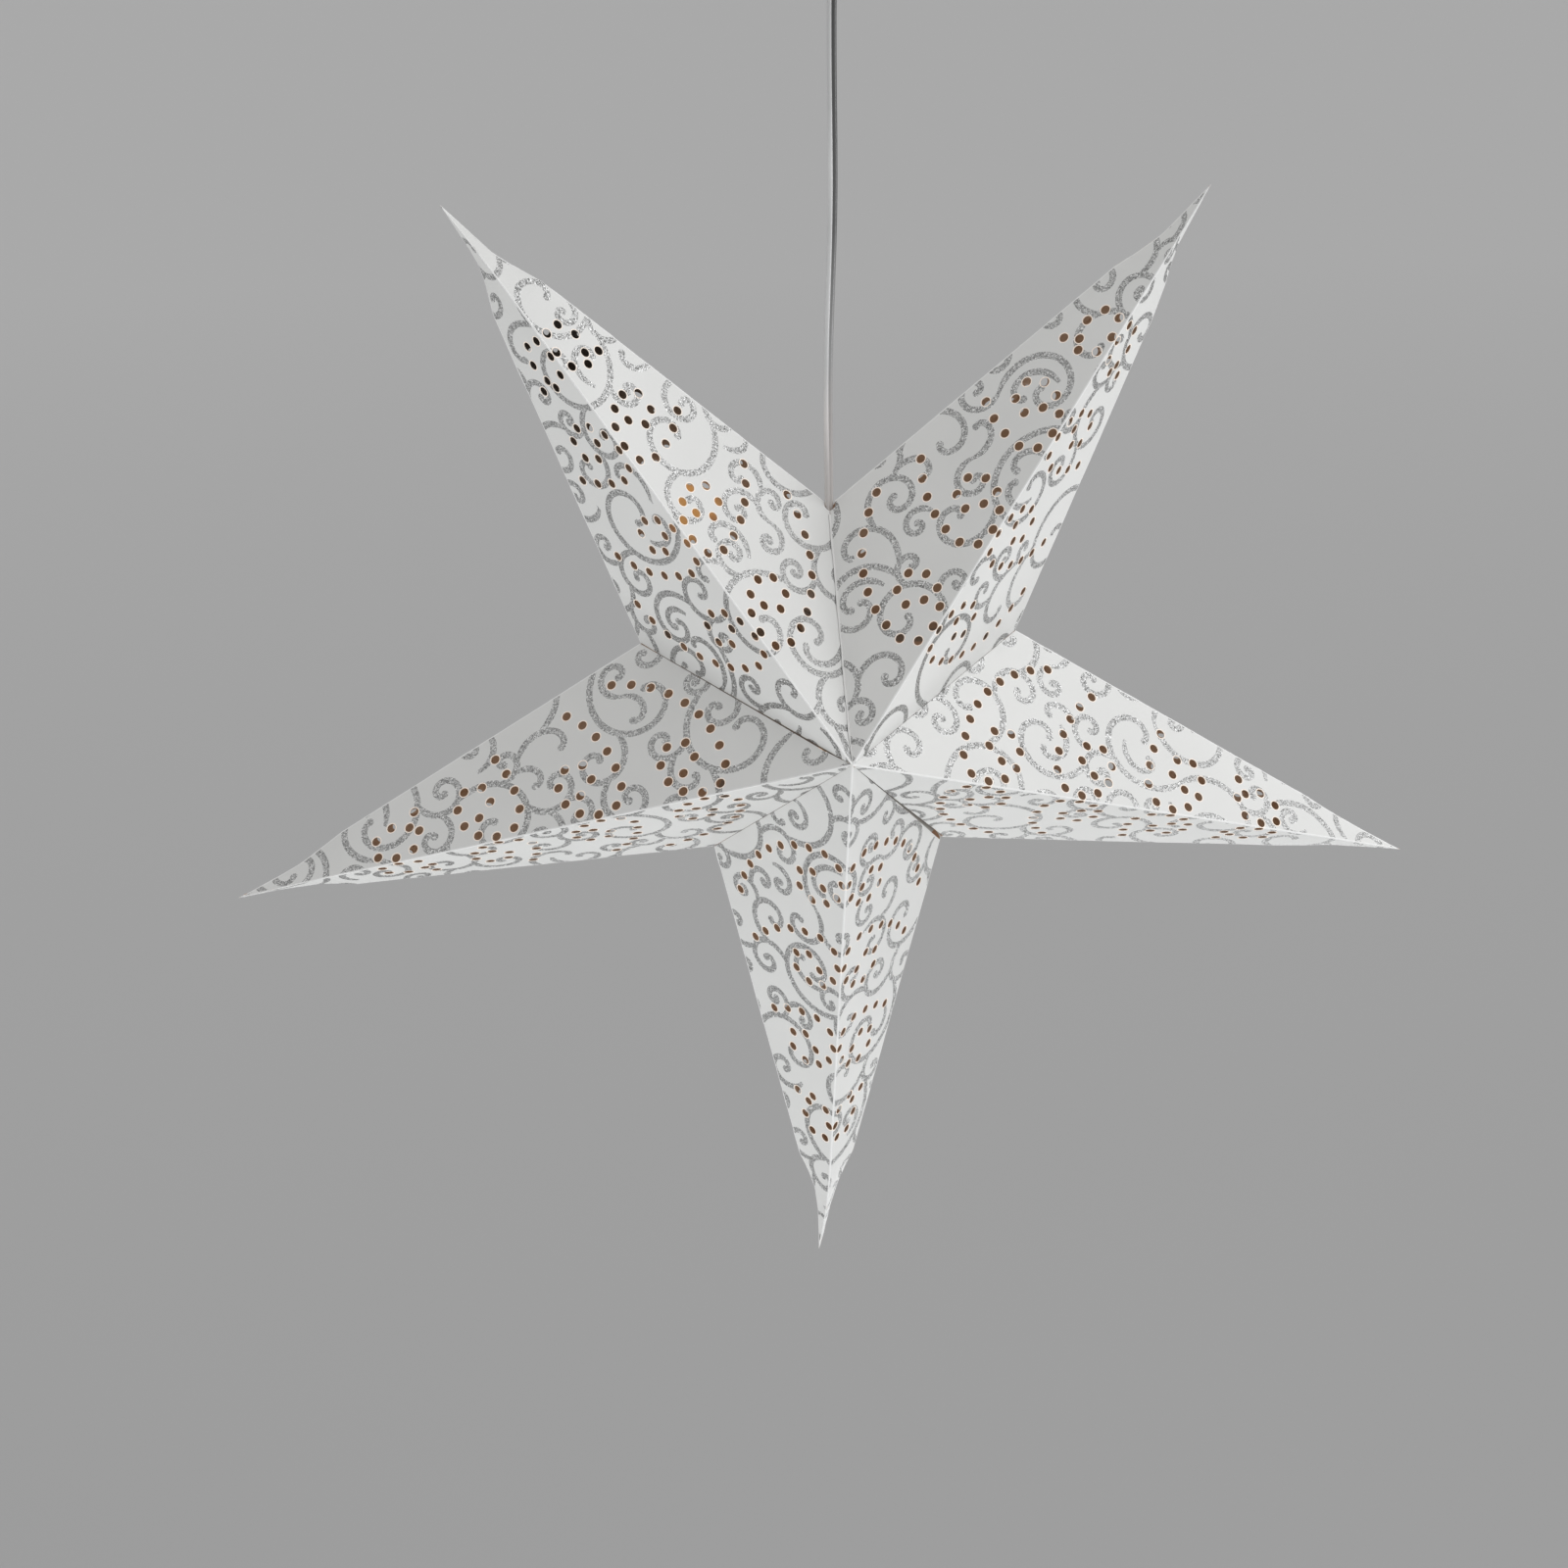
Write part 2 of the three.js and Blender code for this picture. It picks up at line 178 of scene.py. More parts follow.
def vector_math(tree, operation, *sources, output="Vector", **settings):
    """One step of vector arithmetic. A source can also be a plain vector."""
    made = node(tree, "VectorMath", operation=operation, **settings)
    for i, source in enumerate(sources):
        if isinstance(source, Vector):
            made.inputs[i].default_value = source
        else:
            join(source, made, i)
    return made, output


def grain_bump(tree, shader, scale, strength, distance=0.0001):
    """Fine uneven grain on a surface, up to a distance deep, in metres."""
    noise = node(tree, "TexNoise", [("Vector", place(tree))], Scale=scale, Detail=4)
    bump = node(tree, "Bump", [("Height", (noise, "Fac"))], Strength=strength, Distance=distance)
    join((bump, "Normal"), shader, "Normal")


# -------- mesh helpers


def polar(radius, turn):
    return Vector((radius * math.cos(turn), radius * math.sin(turn)))


def ring(radius, sides, at=(0, 0)):
    """Points evenly round a circle."""
    return [Vector(at) + radius * polar(1, 2 * math.pi * i / sides) for i in range(sides)]


def from_bmesh(name, made):
    bmesh.ops.recalc_face_normals(made, faces=made.faces)
    mesh = bpy.data.meshes.new(name)
    made.to_mesh(mesh)
    made.free()
    return linked(name, mesh)


def worked_out(obj):
    """The mesh that obj's shape and modifiers come to."""
    depsgraph = bpy.context.evaluated_depsgraph_get()
    return bpy.data.meshes.new_from_object(obj.evaluated_get(depsgraph), depsgraph=depsgraph)


def flatten_modifiers(obj):
    """obj with its modifiers worked into its mesh."""
    mesh, old = worked_out(obj), obj.data
    obj.modifiers.clear()
    obj.data = mesh
    mesh.name = obj.name
    bpy.data.meshes.remove(old)
    return obj


def thickened(obj, thick, offset, **settings):
    """obj, a sheet, made thick mm thick."""
    modifier = obj.modifiers.new("thickness", "SOLIDIFY")
    modifier.thickness = thick * MM
    modifier.offset = offset
    for key, value in settings.items():
        setattr(modifier, key, value)
    return flatten_modifiers(obj)


def rounded(points, pitch):
    """A smooth route through points, in steps of about pitch."""
    points = [Vector(p) for p in points]
    route = []
    last = len(points) - 1
    for i in range(last):
        before, here, there = points[max(i - 1, 0)], points[i], points[i + 1]
        beyond = points[min(i + 2, last)]
        steps = max(1, round((there - here).length / pitch))
        for k in range(steps):
            t = k / steps
            slope = (there - before) * t
            bend = (2 * before - 5 * here + 4 * there - beyond) * t**2
            skew = (3 * here - before - 3 * there + beyond) * t**3
            route.append(0.5 * (2 * here + slope + bend + skew))
    route.append(points[-1])
    return route


def skinned(name, loops, ends="filled"):
    """A surface through loops of points, in metres, where a loop can be a single point.

    Its first and last loops are filled, joined to each other or left open.
    """
    made = bmesh.new()
    rings = [[made.verts.new(spot) for spot in loop] for loop in loops]
    for low, high in zip(rings, rings[1:] + (rings[:1] if ends == "joined" else [])):
        for i in range(max(len(low), len(high))):
            j = i + 1
            around = [low[i % len(low)], low[j % len(low)], high[j % len(high)], high[i % len(high)]]
            corners = list(dict.fromkeys(around))
            if len(corners) > 2:
                made.faces.new(corners)
    if ends == "filled":
        made.faces.new(rings[0])
        made.faces.new(rings[-1])
    return from_bmesh(name, made)


def turned(name, profile, base=0.0, sides=72, at=(0, 0)):
    """A piece turned about the vertical from a profile of (radius, height), in millimetres.

    The profile is joined end to end unless it reaches the axis.
    """
    loops = []
    for radius, height in profile:
        spots = ring(radius, sides if radius > 0 else 1, at)
        loops.append([Vector((*spot, height + base)) * MM for spot in spots])
    return skinned(name, loops, "joined" if all(radius > 0 for radius, _ in profile) else "open")


# A thread has this many rings of points to a turn, and runs out over 1 / 1.5 of a turn at its ends.
THREAD_STEPS = 12
THREAD_RUN_OUT = 1.5


def threaded(name, low, high, radius, depth, pitch, base=0.0, wall=None, sides=48, at=(0, 0)):
    """A threaded rod or, with a wall, a sleeve of that wall with a rolled thread, in millimetres."""
    steps = round((high - low) / pitch * THREAD_STEPS)

    def skin(inside):
        loops = []
        for k in range(steps + 1):
            z = low + (high - low) * k / steps
            fade = min(1.0, THREAD_RUN_OUT * min(z - low, high - z) / pitch)
            loop = []
            for i in range(sides):
                turn = 2 * math.pi * i / sides
                wave = 0.5 + 0.5 * math.cos(2 * math.pi * z / pitch - turn)
                spot = polar(radius - inside - depth * (1 - fade * wave), turn) + Vector(at)
                loop.append(Vector((*spot, z + base)) * MM)
            loops.append(loop)
        return loops

    if wall is None:
        return skinned(name, skin(0))
    return skinned(name, skin(0) + skin(wall)[::-1], "joined")


def swept(name, route, section, turns=0.0):
    """A closed section carried along a route, turning about it as it goes. All in metres."""
    loops = []
    last = len(route) - 1
    side = Vector((1, 0, 0))
    for i, point in enumerate(route):
        along = (route[min(i + 1, last)] - route[max(i - 1, 0)]).normalized()
        side = (side - side.project(along)).normalized()
        other = side.cross(along)
        turned_by = Matrix.Rotation(2 * math.pi * turns * i / last, 2)
        spots = [turned_by @ spot for spot in section]
        loops.append([point + side * spot.x + other * spot.y for spot in spots])
    return skinned(name, loops)


def plate(name, loops, low, high, bevel):
    """A flat plate with holes, its edges rounded: outlines in millimetres, between two heights."""
    curve = bpy.data.curves.new(name, "CURVE")
    curve.dimensions = "2D"
    curve.fill_mode = "BOTH"
    curve.extrude = ((high - low) / 2 - bevel) * MM
    curve.bevel_depth = bevel * MM
    curve.offset = -bevel * MM
    curve.bevel_resolution = 2
    for loop in loops:
        spline = curve.splines.new("POLY")
        spline.points.add(len(loop) - 1)
        for point, (x, y) in zip(spline.points, loop):
            point.co = (x * MM, y * MM, 0, 1)
        spline.use_cyclic_u = True
    outline = linked(name, curve)
    mesh = worked_out(outline)
    bpy.data.objects.remove(outline)
    made = bmesh.new()
    made.from_mesh(mesh)
    bpy.data.meshes.remove(mesh)
    bmesh.ops.remove_doubles(made, verts=made.verts, dist=1e-6)
    bmesh.ops.translate(made, verts=made.verts, vec=(0, 0, (low + high) / 2 * MM))
    made_plate = from_bmesh(name, made)
    made_plate.data.materials.clear()
    return made_plate


def fluted(obj, count, depth, low, high, outside):
    """Shallow upright grooves around a turned piece, between two heights and beyond a radius."""
    for vertex in obj.data.vertices:
        radius = math.hypot(vertex.co.x, vertex.co.y) / MM
        if radius > outside and low <= vertex.co.z / MM <= high:
            turn = math.atan2(vertex.co.y, vertex.co.x)
            share = 1 - depth / radius * (0.5 + 0.5 * math.cos(count * turn))
            vertex.co.x *= share
            vertex.co.y *= share
    return obj


def finished(obj, material, sharp=35):
    """obj smooth-shaded but for its sharp edges, in one material."""
    obj.data.materials.append(material)
    obj.data.polygons.foreach_set("use_smooth", [True] * len(obj.data.polygons))
    obj.data.set_sharp_from_angle(angle=math.radians(sharp))
    return obj


def joined(obj, *others):
    with bpy.context.temp_override(active_object=obj, selected_editable_objects=[obj, *others]):
        bpy.ops.object.join()
    return obj


def in_place_of(obj, body, node, material=None, sharp=35):
    """obj is shown for a node of a body. It is finished here if its material is given."""
    if material:
        finished(obj, material, sharp)
    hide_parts(node)
    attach(obj, body)


# -------- materials

# Fine grains, as (scale, strength) or (scale, strength, depth in metres).
CARD_TOOTH = (1500.0, 0.15, 0.00005)
PAPER_GRAIN = (900.0, 0.2)
ROUGH_GRAIN = (900.0, 0.3)


def plain_material(name, colour, roughness, grain=None, **settings):
    """One colour, with or without a grain."""
    basics = {"Base_Color": (*colour, 1), "Roughness": roughness}
    material, tree, shader = new_material(name, **basics, **settings)
    if grain:
        grain_bump(tree, shader, *grain)
    return material


def card_material():
    """Smooth off-white card with a faint tooth."""
    material, tree, shader = new_material("card", Roughness=0.5, Specular_IOR_Level=0.35)
    cloud = node(tree, "TexNoise", [("Vector", place(tree))], Scale=14.0, Detail=3.0)
    tone = ramp(tree, (cloud, "Fac"), [(0.3, (0.80, 0.80, 0.785, 1)), (0.7, (0.835, 0.835, 0.82, 1))])
    join(tone, shader, "Base Color")
    grain_bump(tree, shader, *CARD_TOOTH)
    return material


FLAKE_SCALE = 1900.0
FLAKE_TILT = 0.7


def glitter_material():
    """Printed silver glitter: tiny flakes, each tilted its own way, in a clear grey ink."""
    material, tree, shader = new_material("glitter", Metallic=0.82, Roughness=0.42)
    flakes = node(tree, "TexVoronoi", [("Vector", place(tree))], Scale=FLAKE_SCALE)
    chance = (flakes, "Color")
    split = node(tree, "SeparateColor", [("Color", chance)])
    stops = [
        (0.0, (0.21, 0.21, 0.205, 1)),
        (0.4, (0.44, 0.44, 0.435, 1)),
        (0.8, (0.64, 0.64, 0.635, 1)),
        (1.0, (0.99, 0.99, 0.98, 1)),
    ]
    join(ramp(tree, (split, "Red"), stops), shader, "Base Color")
    centred = vector_math(tree, "SUBTRACT", chance, Vector((0.5, 0.5, 0.5)))
    tilt = vector_math(tree, "SCALE", centred, Scale=FLAKE_TILT)
    tilted = vector_math(tree, "ADD", tilt, (node(tree, "NewGeometry"), "Normal"))
    join(vector_math(tree, "NORMALIZE", tilted), shader, "Normal")
    return material


# Painted light inside the star: one arm's inside is painted dark from part of the way to its tip, as
# painted shade, and one patch of its back is painted amber, as a painted pool of the lamp's light.
PAINTED_SHADE_ARM = "top_left"
PAINTED_SHADE_FROM = 0.40 * TIP_RADIUS
PAINTED_SHADE_BEYOND = 0.62 * TIP_RADIUS
PAINTED_LAMPLIGHT_PATCH = CENTRE + Vector((-0.066, 0.063, 0.084))
PAINTED_LAMPLIGHT_RADIUS = 0.012
PAINTED_LAMPLIGHT_FADES_BY = 0.026


def inside_painted_light_material():
    """The card's bare tan inside, with the lamp's light painted on: a faint warm painted glow, painted
    shade toward one arm's tip, and a painted pool of light on one patch.
    """
    material, tree, shader = new_material("inside", Roughness=0.8, Emission_Strength=0.25)
    outward = on_star(1.0, ARM_TURN[PAINTED_SHADE_ARM]) - CENTRE
    along = vector_math(tree, "DOT_PRODUCT", place(tree), outward, output="Value")
    start = CENTRE.dot(outward)
    reach = (along, start + PAINTED_SHADE_FROM, start + PAINTED_SHADE_BEYOND)
    # painted shade: the inside's colour and painted glow darken to near black toward that arm's tip
    tone = ramp_between(tree, *reach, [(0.0, (0.62, 0.50, 0.40, 1)), (1.0, (0.12, 0.10, 0.085, 1))])
    painted_glow = ramp_between(tree, *reach, [(0.0, (0.12, 0.075, 0.046, 1)), (1.0, (0.014, 0.010, 0.007, 1))])
    # a painted pool of amber lamplight round one spot of the arm's back
    off_painted_pool = vector_math(tree, "DISTANCE", place(tree), PAINTED_LAMPLIGHT_PATCH, output="Value")
    stops = [(0.0, (1.0, 0.50, 0.13, 1)), (0.5, (0.35, 0.16, 0.06, 1)), (1.0, grey(0.0))]
    painted_light_pool = ramp_between(tree, off_painted_pool, PAINTED_LAMPLIGHT_RADIUS, PAINTED_LAMPLIGHT_FADES_BY, stops)
    join(tone, shader, "Base Color")
    join(vector_math(tree, "ADD", painted_glow, painted_light_pool), shader, "Emission Color")
    grain_bump(tree, shader, *PAPER_GRAIN)
    return material


CARD = card_material()
GLITTER = glitter_material()
INSIDE_PAINTED_LIGHT = inside_painted_light_material()
FOLD = plain_material("fold", (0.92, 0.92, 0.91), 0.6, ROUGH_GRAIN)
# Glue flaps are painted dark grey as painted shade, where they show in the seam gaps.
FLAP_PAINTED_SHADE = plain_material("flap", (0.40, 0.39, 0.37), 0.7, ROUGH_GRAIN)
CUT = plain_material("cut", (0.86, 0.82, 0.76), 0.8, PAPER_GRAIN)

# The pressed rim of a punched hole: a pale warm ring, partly its cut edge's own colour and partly painted
# lamplight, with a faint painted glow.
RIM_PAINTED_LAMPLIGHT = {"Emission_Color": (1.0, 0.72, 0.52, 1), "Emission_Strength": 0.15}
PAINTED_LIT_RIM = plain_material("rim", (0.96, 0.88, 0.80), 0.6, PAPER_GRAIN, **RIM_PAINTED_LAMPLIGHT)


# -------- cord

# A clear flat twin flex: two round lobes side by side, one coloured light and one dark, each ramped along
# its length, and pink at its foot as painted lamplight from inside the star.
CORD_TOP = -57
CORD_BOTTOM = CENTRE.z / MM + 64
CORD_POINTS = 13
CORD_STEP = 3
CORD_WAVE = 1.6
CORD_WIDTH = 4.9
CORD_LOBE = 1.4
CORD_TURNS = 0.1
CORD_BRIGHT_UP_TO = -0.8
# painted lamplight: the cord's foot by the top notch is tinted pink, as the lamp inside would light it
PAINTED_LAMPLIGHT_PINK = (0.62, 0.59, 0.57, 1)


def lobed_section(width, lobe, arc=10):
    """Two overlapping circles side by side, as one outline, in metres."""
    off = width / 2 - lobe
    meet = math.acos(-off / lobe)
    outline = []
    for side in (1, -1):
        for i in range(arc + 1):
            turn = meet * (2 * i / arc - 1)
            outline.append(side * MM * Vector((off + lobe * math.cos(turn), lobe * math.sin(turn))))
    return outline


def flex_material(name, stops):
    """Clear plastic whose colour is ramped from the cord's foot to its top, through the stops given."""
    material, tree, shader = new_material(name, Roughness=0.28, Coat_Weight=0.5)
    tone = ramp_between(tree, coordinate(tree, "Z"), CORD_BOTTOM * MM, CORD_TOP * MM, stops)
    join(tone, shader, "Base Color")
    grain_bump(tree, shader, 350.0, 0.12, 0.0002)
    return material


def greys(*stops):
    return [(where, grey(value)) for where, value in stops]


SOFT_PLASTIC = plain_material("soft_plastic", (0.70, 0.69, 0.66), 0.5, (500.0, 0.08))
CORD_BRIGHT = flex_material(
    "flex_bright",
    [
        (0.13, PAINTED_LAMPLIGHT_PINK),
        (0.20, (0.64, 0.61, 0.60, 1)),
        (0.28, (0.74, 0.71, 0.70, 1)),
        *greys((0.37, 0.60), (0.48, 0.64), (0.60, 0.58), (0.70, 0.68), (0.80, 0.56), (1.0, 0.54)),
    ],
)
CORD_DARK = flex_material(
    "flex_dark",
    [
        (0.13, PAINTED_LAMPLIGHT_PINK),
        (0.19, (0.56, 0.53, 0.52, 1)),
        (0.27, (0.44, 0.42, 0.41, 1)),
        *greys((0.38, 0.34), (0.48, 0.25), (0.60, 0.12), (1.0, 0.07)),
    ],
)
CORD_SECTION = lobed_section(CORD_WIDTH, CORD_LOBE)

# The ball that the cord's top end hangs by, and the ribbed boot under it.
BALL_RADIUS = 3.4
BALL_HEIGHT = -45
BOOT_FOOT = -56
BOOT_RIBS = 4
RIB_PITCH = 2.4


def cord_boot():
    """The cord's top end: a ball that swings under the grip, and a ribbed boot below it."""
    turns = [t * math.pi / 16 for t in range(9)]
    profile = [(BALL_RADIUS * math.sin(t), BALL_HEIGHT + BALL_RADIUS * math.cos(t)) for t in turns]
    for k in range(BOOT_RIBS):
        top = -46.4 - RIB_PITCH * k
        r = 3.3 - 0.15 * k
        profile += [(r, top), (r - 0.1, top - 1.5), (r - 0.5, top - 1.7), (r - 0.5, top - 2.2)]
    profile += [(2.75, BOOT_FOOT), (0, BOOT_FOOT)]
    made = turned("cord_boot", profile, sides=48)
    in_place_of(made, "cord_sleeve", "cord_sleeve", SOFT_PLASTIC)
    return made


def hang_cord(boot):
    """The cord hangs straight but for a slight wave left by its packing."""
    points = []
    for i in range(CORD_POINTS):
        share = i / (CORD_POINTS - 1)
        x = CORD_WAVE * math.sin(math.pi * share) ** 2 * math.sin(2 * math.pi * share)
        points.append(Vector((x, 0.6 * x, CORD_TOP + (CORD_BOTTOM - CORD_TOP) * share)) * MM)
    route = rounded(points, CORD_STEP * MM)
    cord = finished(swept("flex", route, CORD_SECTION, CORD_TURNS), CORD_DARK, 60)
    cord.data.materials.append(CORD_BRIGHT)
    count = len(CORD_SECTION)
    for i, polygon in enumerate(cord.data.polygons):
        middle = (CORD_SECTION[i % count] + CORD_SECTION[(i + 1) % count]) / 2
        polygon.material_index = 1 if middle.x < CORD_BRIGHT_UP_TO * MM else 0
    in_place_of(cord, "cord", "cord")


hang_cord(cord_boot())


# -------- one arm's flat sheet, in millimetres

# The sheet's net fans out from the arm's tip. Its folds are, in turn: side, front ridge, side,
# back ridge, side. Sides end at the notches and ridges at the star's front and back apex.
RIDGE = math.hypot(TIP_RADIUS, HALF_DEPTH) / MM
VALLEY = math.hypot(NOTCH_RADIUS, HALF_DEPTH) / MM
HALF_STEP = math.radians(ARM_STEP / 2)
SIDE_SQUARED = TIP_RADIUS**2 + NOTCH_RADIUS**2 - 2 * TIP_RADIUS * NOTCH_RADIUS * math.cos(HALF_STEP)
SIDE = math.sqrt(SIDE_SQUARED) / MM
FACET_TURN = math.acos((RIDGE**2 + SIDE**2 - VALLEY**2) / (2 * RIDGE * SIDE))
NET_TIP = Vector((0.0, 0.0))
NET_ENDS = [polar(SIDE if i % 2 == 0 else RIDGE, i * FACET_TURN) for i in range(5)]

# Vines. A vine is a point every VINE_STEP along a curl. It starts at ROOT_SHARE of its width and is
# at its full width WIDENED_BY points on. It stays clear of other vines, but for its own root.
FIRST_VINE_SEED = 11
VINE_TRIES = 2600
VINE_STEP = 1.5
VINE_WIDTH = 3.7
VINE_END = 2.3
VINE_END_SIDES = 8
ROOT_SHARE = 0.55
WIDENED_BY = 5
VINE_CLEAR = VINE_WIDTH + 1.0
ROOT_CLEAR = VINE_CLEAR + 2.5
FEWEST_POINTS = 8
VINE_PAST_EDGE = 4
GRID_MARGIN = 12

# Curls are (size, least turns, most turns), and each size varies by SIZE_SPREAD. A curl's radius
# is its size times CURL_EYE + CURL_SWEEP * left**CURL_TIGHTENS, left being the share still to turn.
CURLS = tuple((size, 0.9, 1.3) for size in (18, 15, 12.5, 10, 8, 6.5))
SHORT_CURLS = tuple((size, 0.5, 0.75) for size in (14, 11, 8.5))
SIZE_SPREAD = 0.1
CURL_EYE = 0.24
CURL_SWEEP = 1.5
CURL_TIGHTENS = 1.25

# Where curls sprout from another: (share of its length, radians that they turn away from it).
SPROUTS = ((0.24, 0.1), (0.45, 0.25), (0.1, 0.0))

# Holes: each curl of them is a tail and a hook that closes on itself, both from one first hole.
# Arcs are (length, radius). The curls differ in how much of the tail and hook they have.
HOLE_RADIUS = 2.5
HOLE_RIM = 3.0
HOLE_SIDES = 14
HOOK_FROM_TIP = 278.4
HOOK_OVER_RIDGE = 15.7
HOOK_PITCH = 57.4
HOOK_HEADING = math.radians(-81)
TAIL_ARCS = ((1000, 71),)
HOOK_ARCS = ((20, 11.2), (4, 100), (31, 22), (1000, 9.4))
SHORT_HOOK_ARCS = ((20, 11.2), (9, 100), (12, 6.5), (1000, 14))
TAIL_SPACING = 11.4
HOOK_SPACING = 10.8
WALK_STEP = 0.2

# Each curl's holes in its tail, arcs of its hook, and holes in its hook.
HOLE_CURLS = ((8, HOOK_ARCS, 9), (5, HOOK_ARCS, 9), (3, HOOK_ARCS, 9), (1, SHORT_HOOK_ARCS, 6))

# Card. Points of the net closer together than MERGE_WITHIN are one, and the inner points stand in
# offset rows, clear of the net's edge.
CARD_THICK = 0.35
FOLD_WIDTH = 0.85
FOLD_DROP = 0.22
FOLD_LINE = 0.05
MERGE_WITHIN = 0.02
MESH_PITCH = 9.0
ROW_SHARE = 0.87
EDGE_CLEAR = 3
CARD_OUTSIDE = (CARD, GLITTER, FOLD, PAINTED_LIT_RIM)
ON_CARD, ON_VINE, ON_FOLD, ON_PAINTED_LIT_RIM = range(4)

# A round shape's edge is short straight lines, so a triangle counts as inside it a little early,
# and one near a vine counts as on it a little late.
ROUND_SLACK = 0.98
VINE_SLACK = 1.01

# Each facet bulges by BULGE in the middle, times a mean plus a swing that waves across the net.
FIRST_BULGE_SEED = 111
BULGE = 1.1
BULGE_MEAN = 0.45
BULGE_SWING = 0.75
BULGE_WAVES = (0.021, 0.026)
AT_FACET_MIDDLE = 27

# Gaps where the seams between arms don't quite close, by (arm, facet): widths at the stops along the
# seam from the apex to the notch. Every other seam has the last one.
SEAM_GAPS = {
    ("left", 1): (0.05, 1.3, 0.7, 0.2),
    ("right", 1): (0.05, 0.4, 0.6, 2.3),
    ("bottom", 0): (0.05, 0.3, 0.4, 1.5),
    ("left", 0): (0.05, 0.3, 0.3, 0.2),
}
SEAM_GAP = (0.0, 0.1, 0.15, 0.15)
SEAM_STOPS = (0.02, 0.12, 0.4, 1)
GAP_REACH = 7.0

# The two arms beside the cord are cut back around it at the top notch, where these folds end.
CORD_CUT = 3.4
CORD_CUT_SIDES = 40
CORD_FOLDS = {"top_left": (2,), "top_right": (0, 4)}

# How far each tip is pinched narrower, from 0 to 1, and how far it bends to its left and forward.
# Both fade out PINCH_REACH from the tip, the pinch PINCH_RISE times more steeply.
TIP_SHAPE = {
    "bottom": (0.45, -4.0, 0.0),
    "right": (0.15, 0.0, 1.0),
    "top_right": (0.4, 1.0, 1.5),
    "top_left": (0.5, 1.5, 2.0),
    "left": (0.35, 0.5, 1.0),
}
PINCH_REACH = 62
PINCH_RISE = 2.2


class Sheet:
    """Which parts of the flat sheet are too near a vine for another one, on a 1 mm grid."""

    def __init__(self):
        corners = np.array([NET_TIP, *NET_ENDS])
        self.low = Vector(corners.min(0)) - Vector((GRID_MARGIN, GRID_MARGIN))
        size = Vector(corners.max(0)) - self.low
        self.shape = (int(size.x) + GRID_MARGIN, int(size.y) + GRID_MARGIN)
        self.taken = np.zeros(self.shape, bool)
        near = range(-math.ceil(VINE_CLEAR), math.ceil(VINE_CLEAR) + 1)
        self.disc = [(i, j) for i in near for j in near if math.hypot(i, j) <= VINE_CLEAR]

    def cell(self, p):
        return int(p[0] - self.low.x), int(p[1] - self.low.y)

    def holds(self, i, j):
        return 0 <= i < self.shape[0] and 0 <= j < self.shape[1]

    def free(self, p):
        i, j = self.cell(p)
        return self.holds(i, j) and not self.taken[i, j]

    def take(self, points):
        for p in points:
            i, j = self.cell(p)
            for di, dj in self.disc:
                if self.holds(i + di, j + dj):
                    self.taken[i + di, j + dj] = True


def curl(start, heading, hand, size, turns):
    """A curl's points and its heading at each: a wide sweep that tightens. hand is 1 for left."""
    total = turns * 2 * math.pi
    points = [Vector(start)]
    headings = [heading]
    gone = 0.0
    while gone < total:
        left = 1 - gone / total
        radius = size * (CURL_EYE + CURL_SWEEP * left**CURL_TIGHTENS)
        gone += VINE_STEP / radius
        turn = heading + hand * gone
        points.append(points[-1] + VINE_STEP * polar(1, turn))
        headings.append(turn)
    return points, headings


def grow_vines(seed):
    """The sheet's vines: each curl sprouts others of the opposite hand from its outer sweep."""
    rng = random.Random(seed)
    sheet = Sheet()
    vines = []
    sprouts = []

    def try_curl(start, heading, hand, root_clear):
        for size, least, most in CURLS + SHORT_CURLS:
            size *= rng.uniform(1 - SIZE_SPREAD, 1 + SIZE_SPREAD)
            points, headings = curl(start, heading, hand, size, rng.uniform(least, most))
            beyond = [p for p in points if (p - start).length > root_clear]
            if len(beyond) < FEWEST_POINTS or not all(sheet.free(p) for p in beyond):
                continue
            sheet.take(points)
            vines.append(points)
            for share, turn in SPROUTS:
                i = int(share * len(points))
                sprouts.append((points[i], headings[i] - hand * turn, -hand))
            sprouts.append((points[0], heading + math.pi, hand))
            sprouts.append((points[0], heading + math.pi, -hand))
            return

    for _ in range(VINE_TRIES):
        if sprouts:
            try_curl(*sprouts.pop(0), ROOT_CLEAR)
            continue
        start = sheet.low + Vector([rng.uniform(0, length) for length in sheet.shape])
        if sheet.free(start):
            try_curl(start, rng.uniform(0, 2 * math.pi), rng.choice((-1, 1)), 0)
    return vines


def arc_walk(start, heading, arcs, spacing, count):
    """count points, spacing apart, along arcs of (length, radius) that turn right."""
    point = Vector(start)
    gone = 0.0
    arcs = list(arcs)
    left, radius = arcs.pop(0)
    found = []
    while len(found) < count:
        point = point + WALK_STEP * polar(1, heading)
        heading -= WALK_STEP / radius
        gone += WALK_STEP
        left -= WALK_STEP
        if left <= 0 and arcs:
            left, radius = arcs.pop(0)
        if gone >= spacing * (len(found) + 1):
            found.append(point)
    return found


def facet_holes():
    """Hole centres on a facet: distance from the tip along the ridge, and from the ridge."""
    holes = []
    for k, (tail, hook_arcs, hook) in enumerate(HOLE_CURLS):
        start = Vector((HOOK_FROM_TIP - k * HOOK_PITCH, HOOK_OVER_RIDGE))
        holes.append(start)
        holes += arc_walk(start, HOOK_HEADING, hook_arcs, HOOK_SPACING, hook)
        # the tail turns left as it leaves the first hole, so it is walked as its mirror image
        mirrored = arc_walk((start.x, -start.y), -(HOOK_HEADING + math.pi), TAIL_ARCS, TAIL_SPACING, tail)
        holes += [Vector((p.x, -p.y)) for p in mirrored]
    return holes


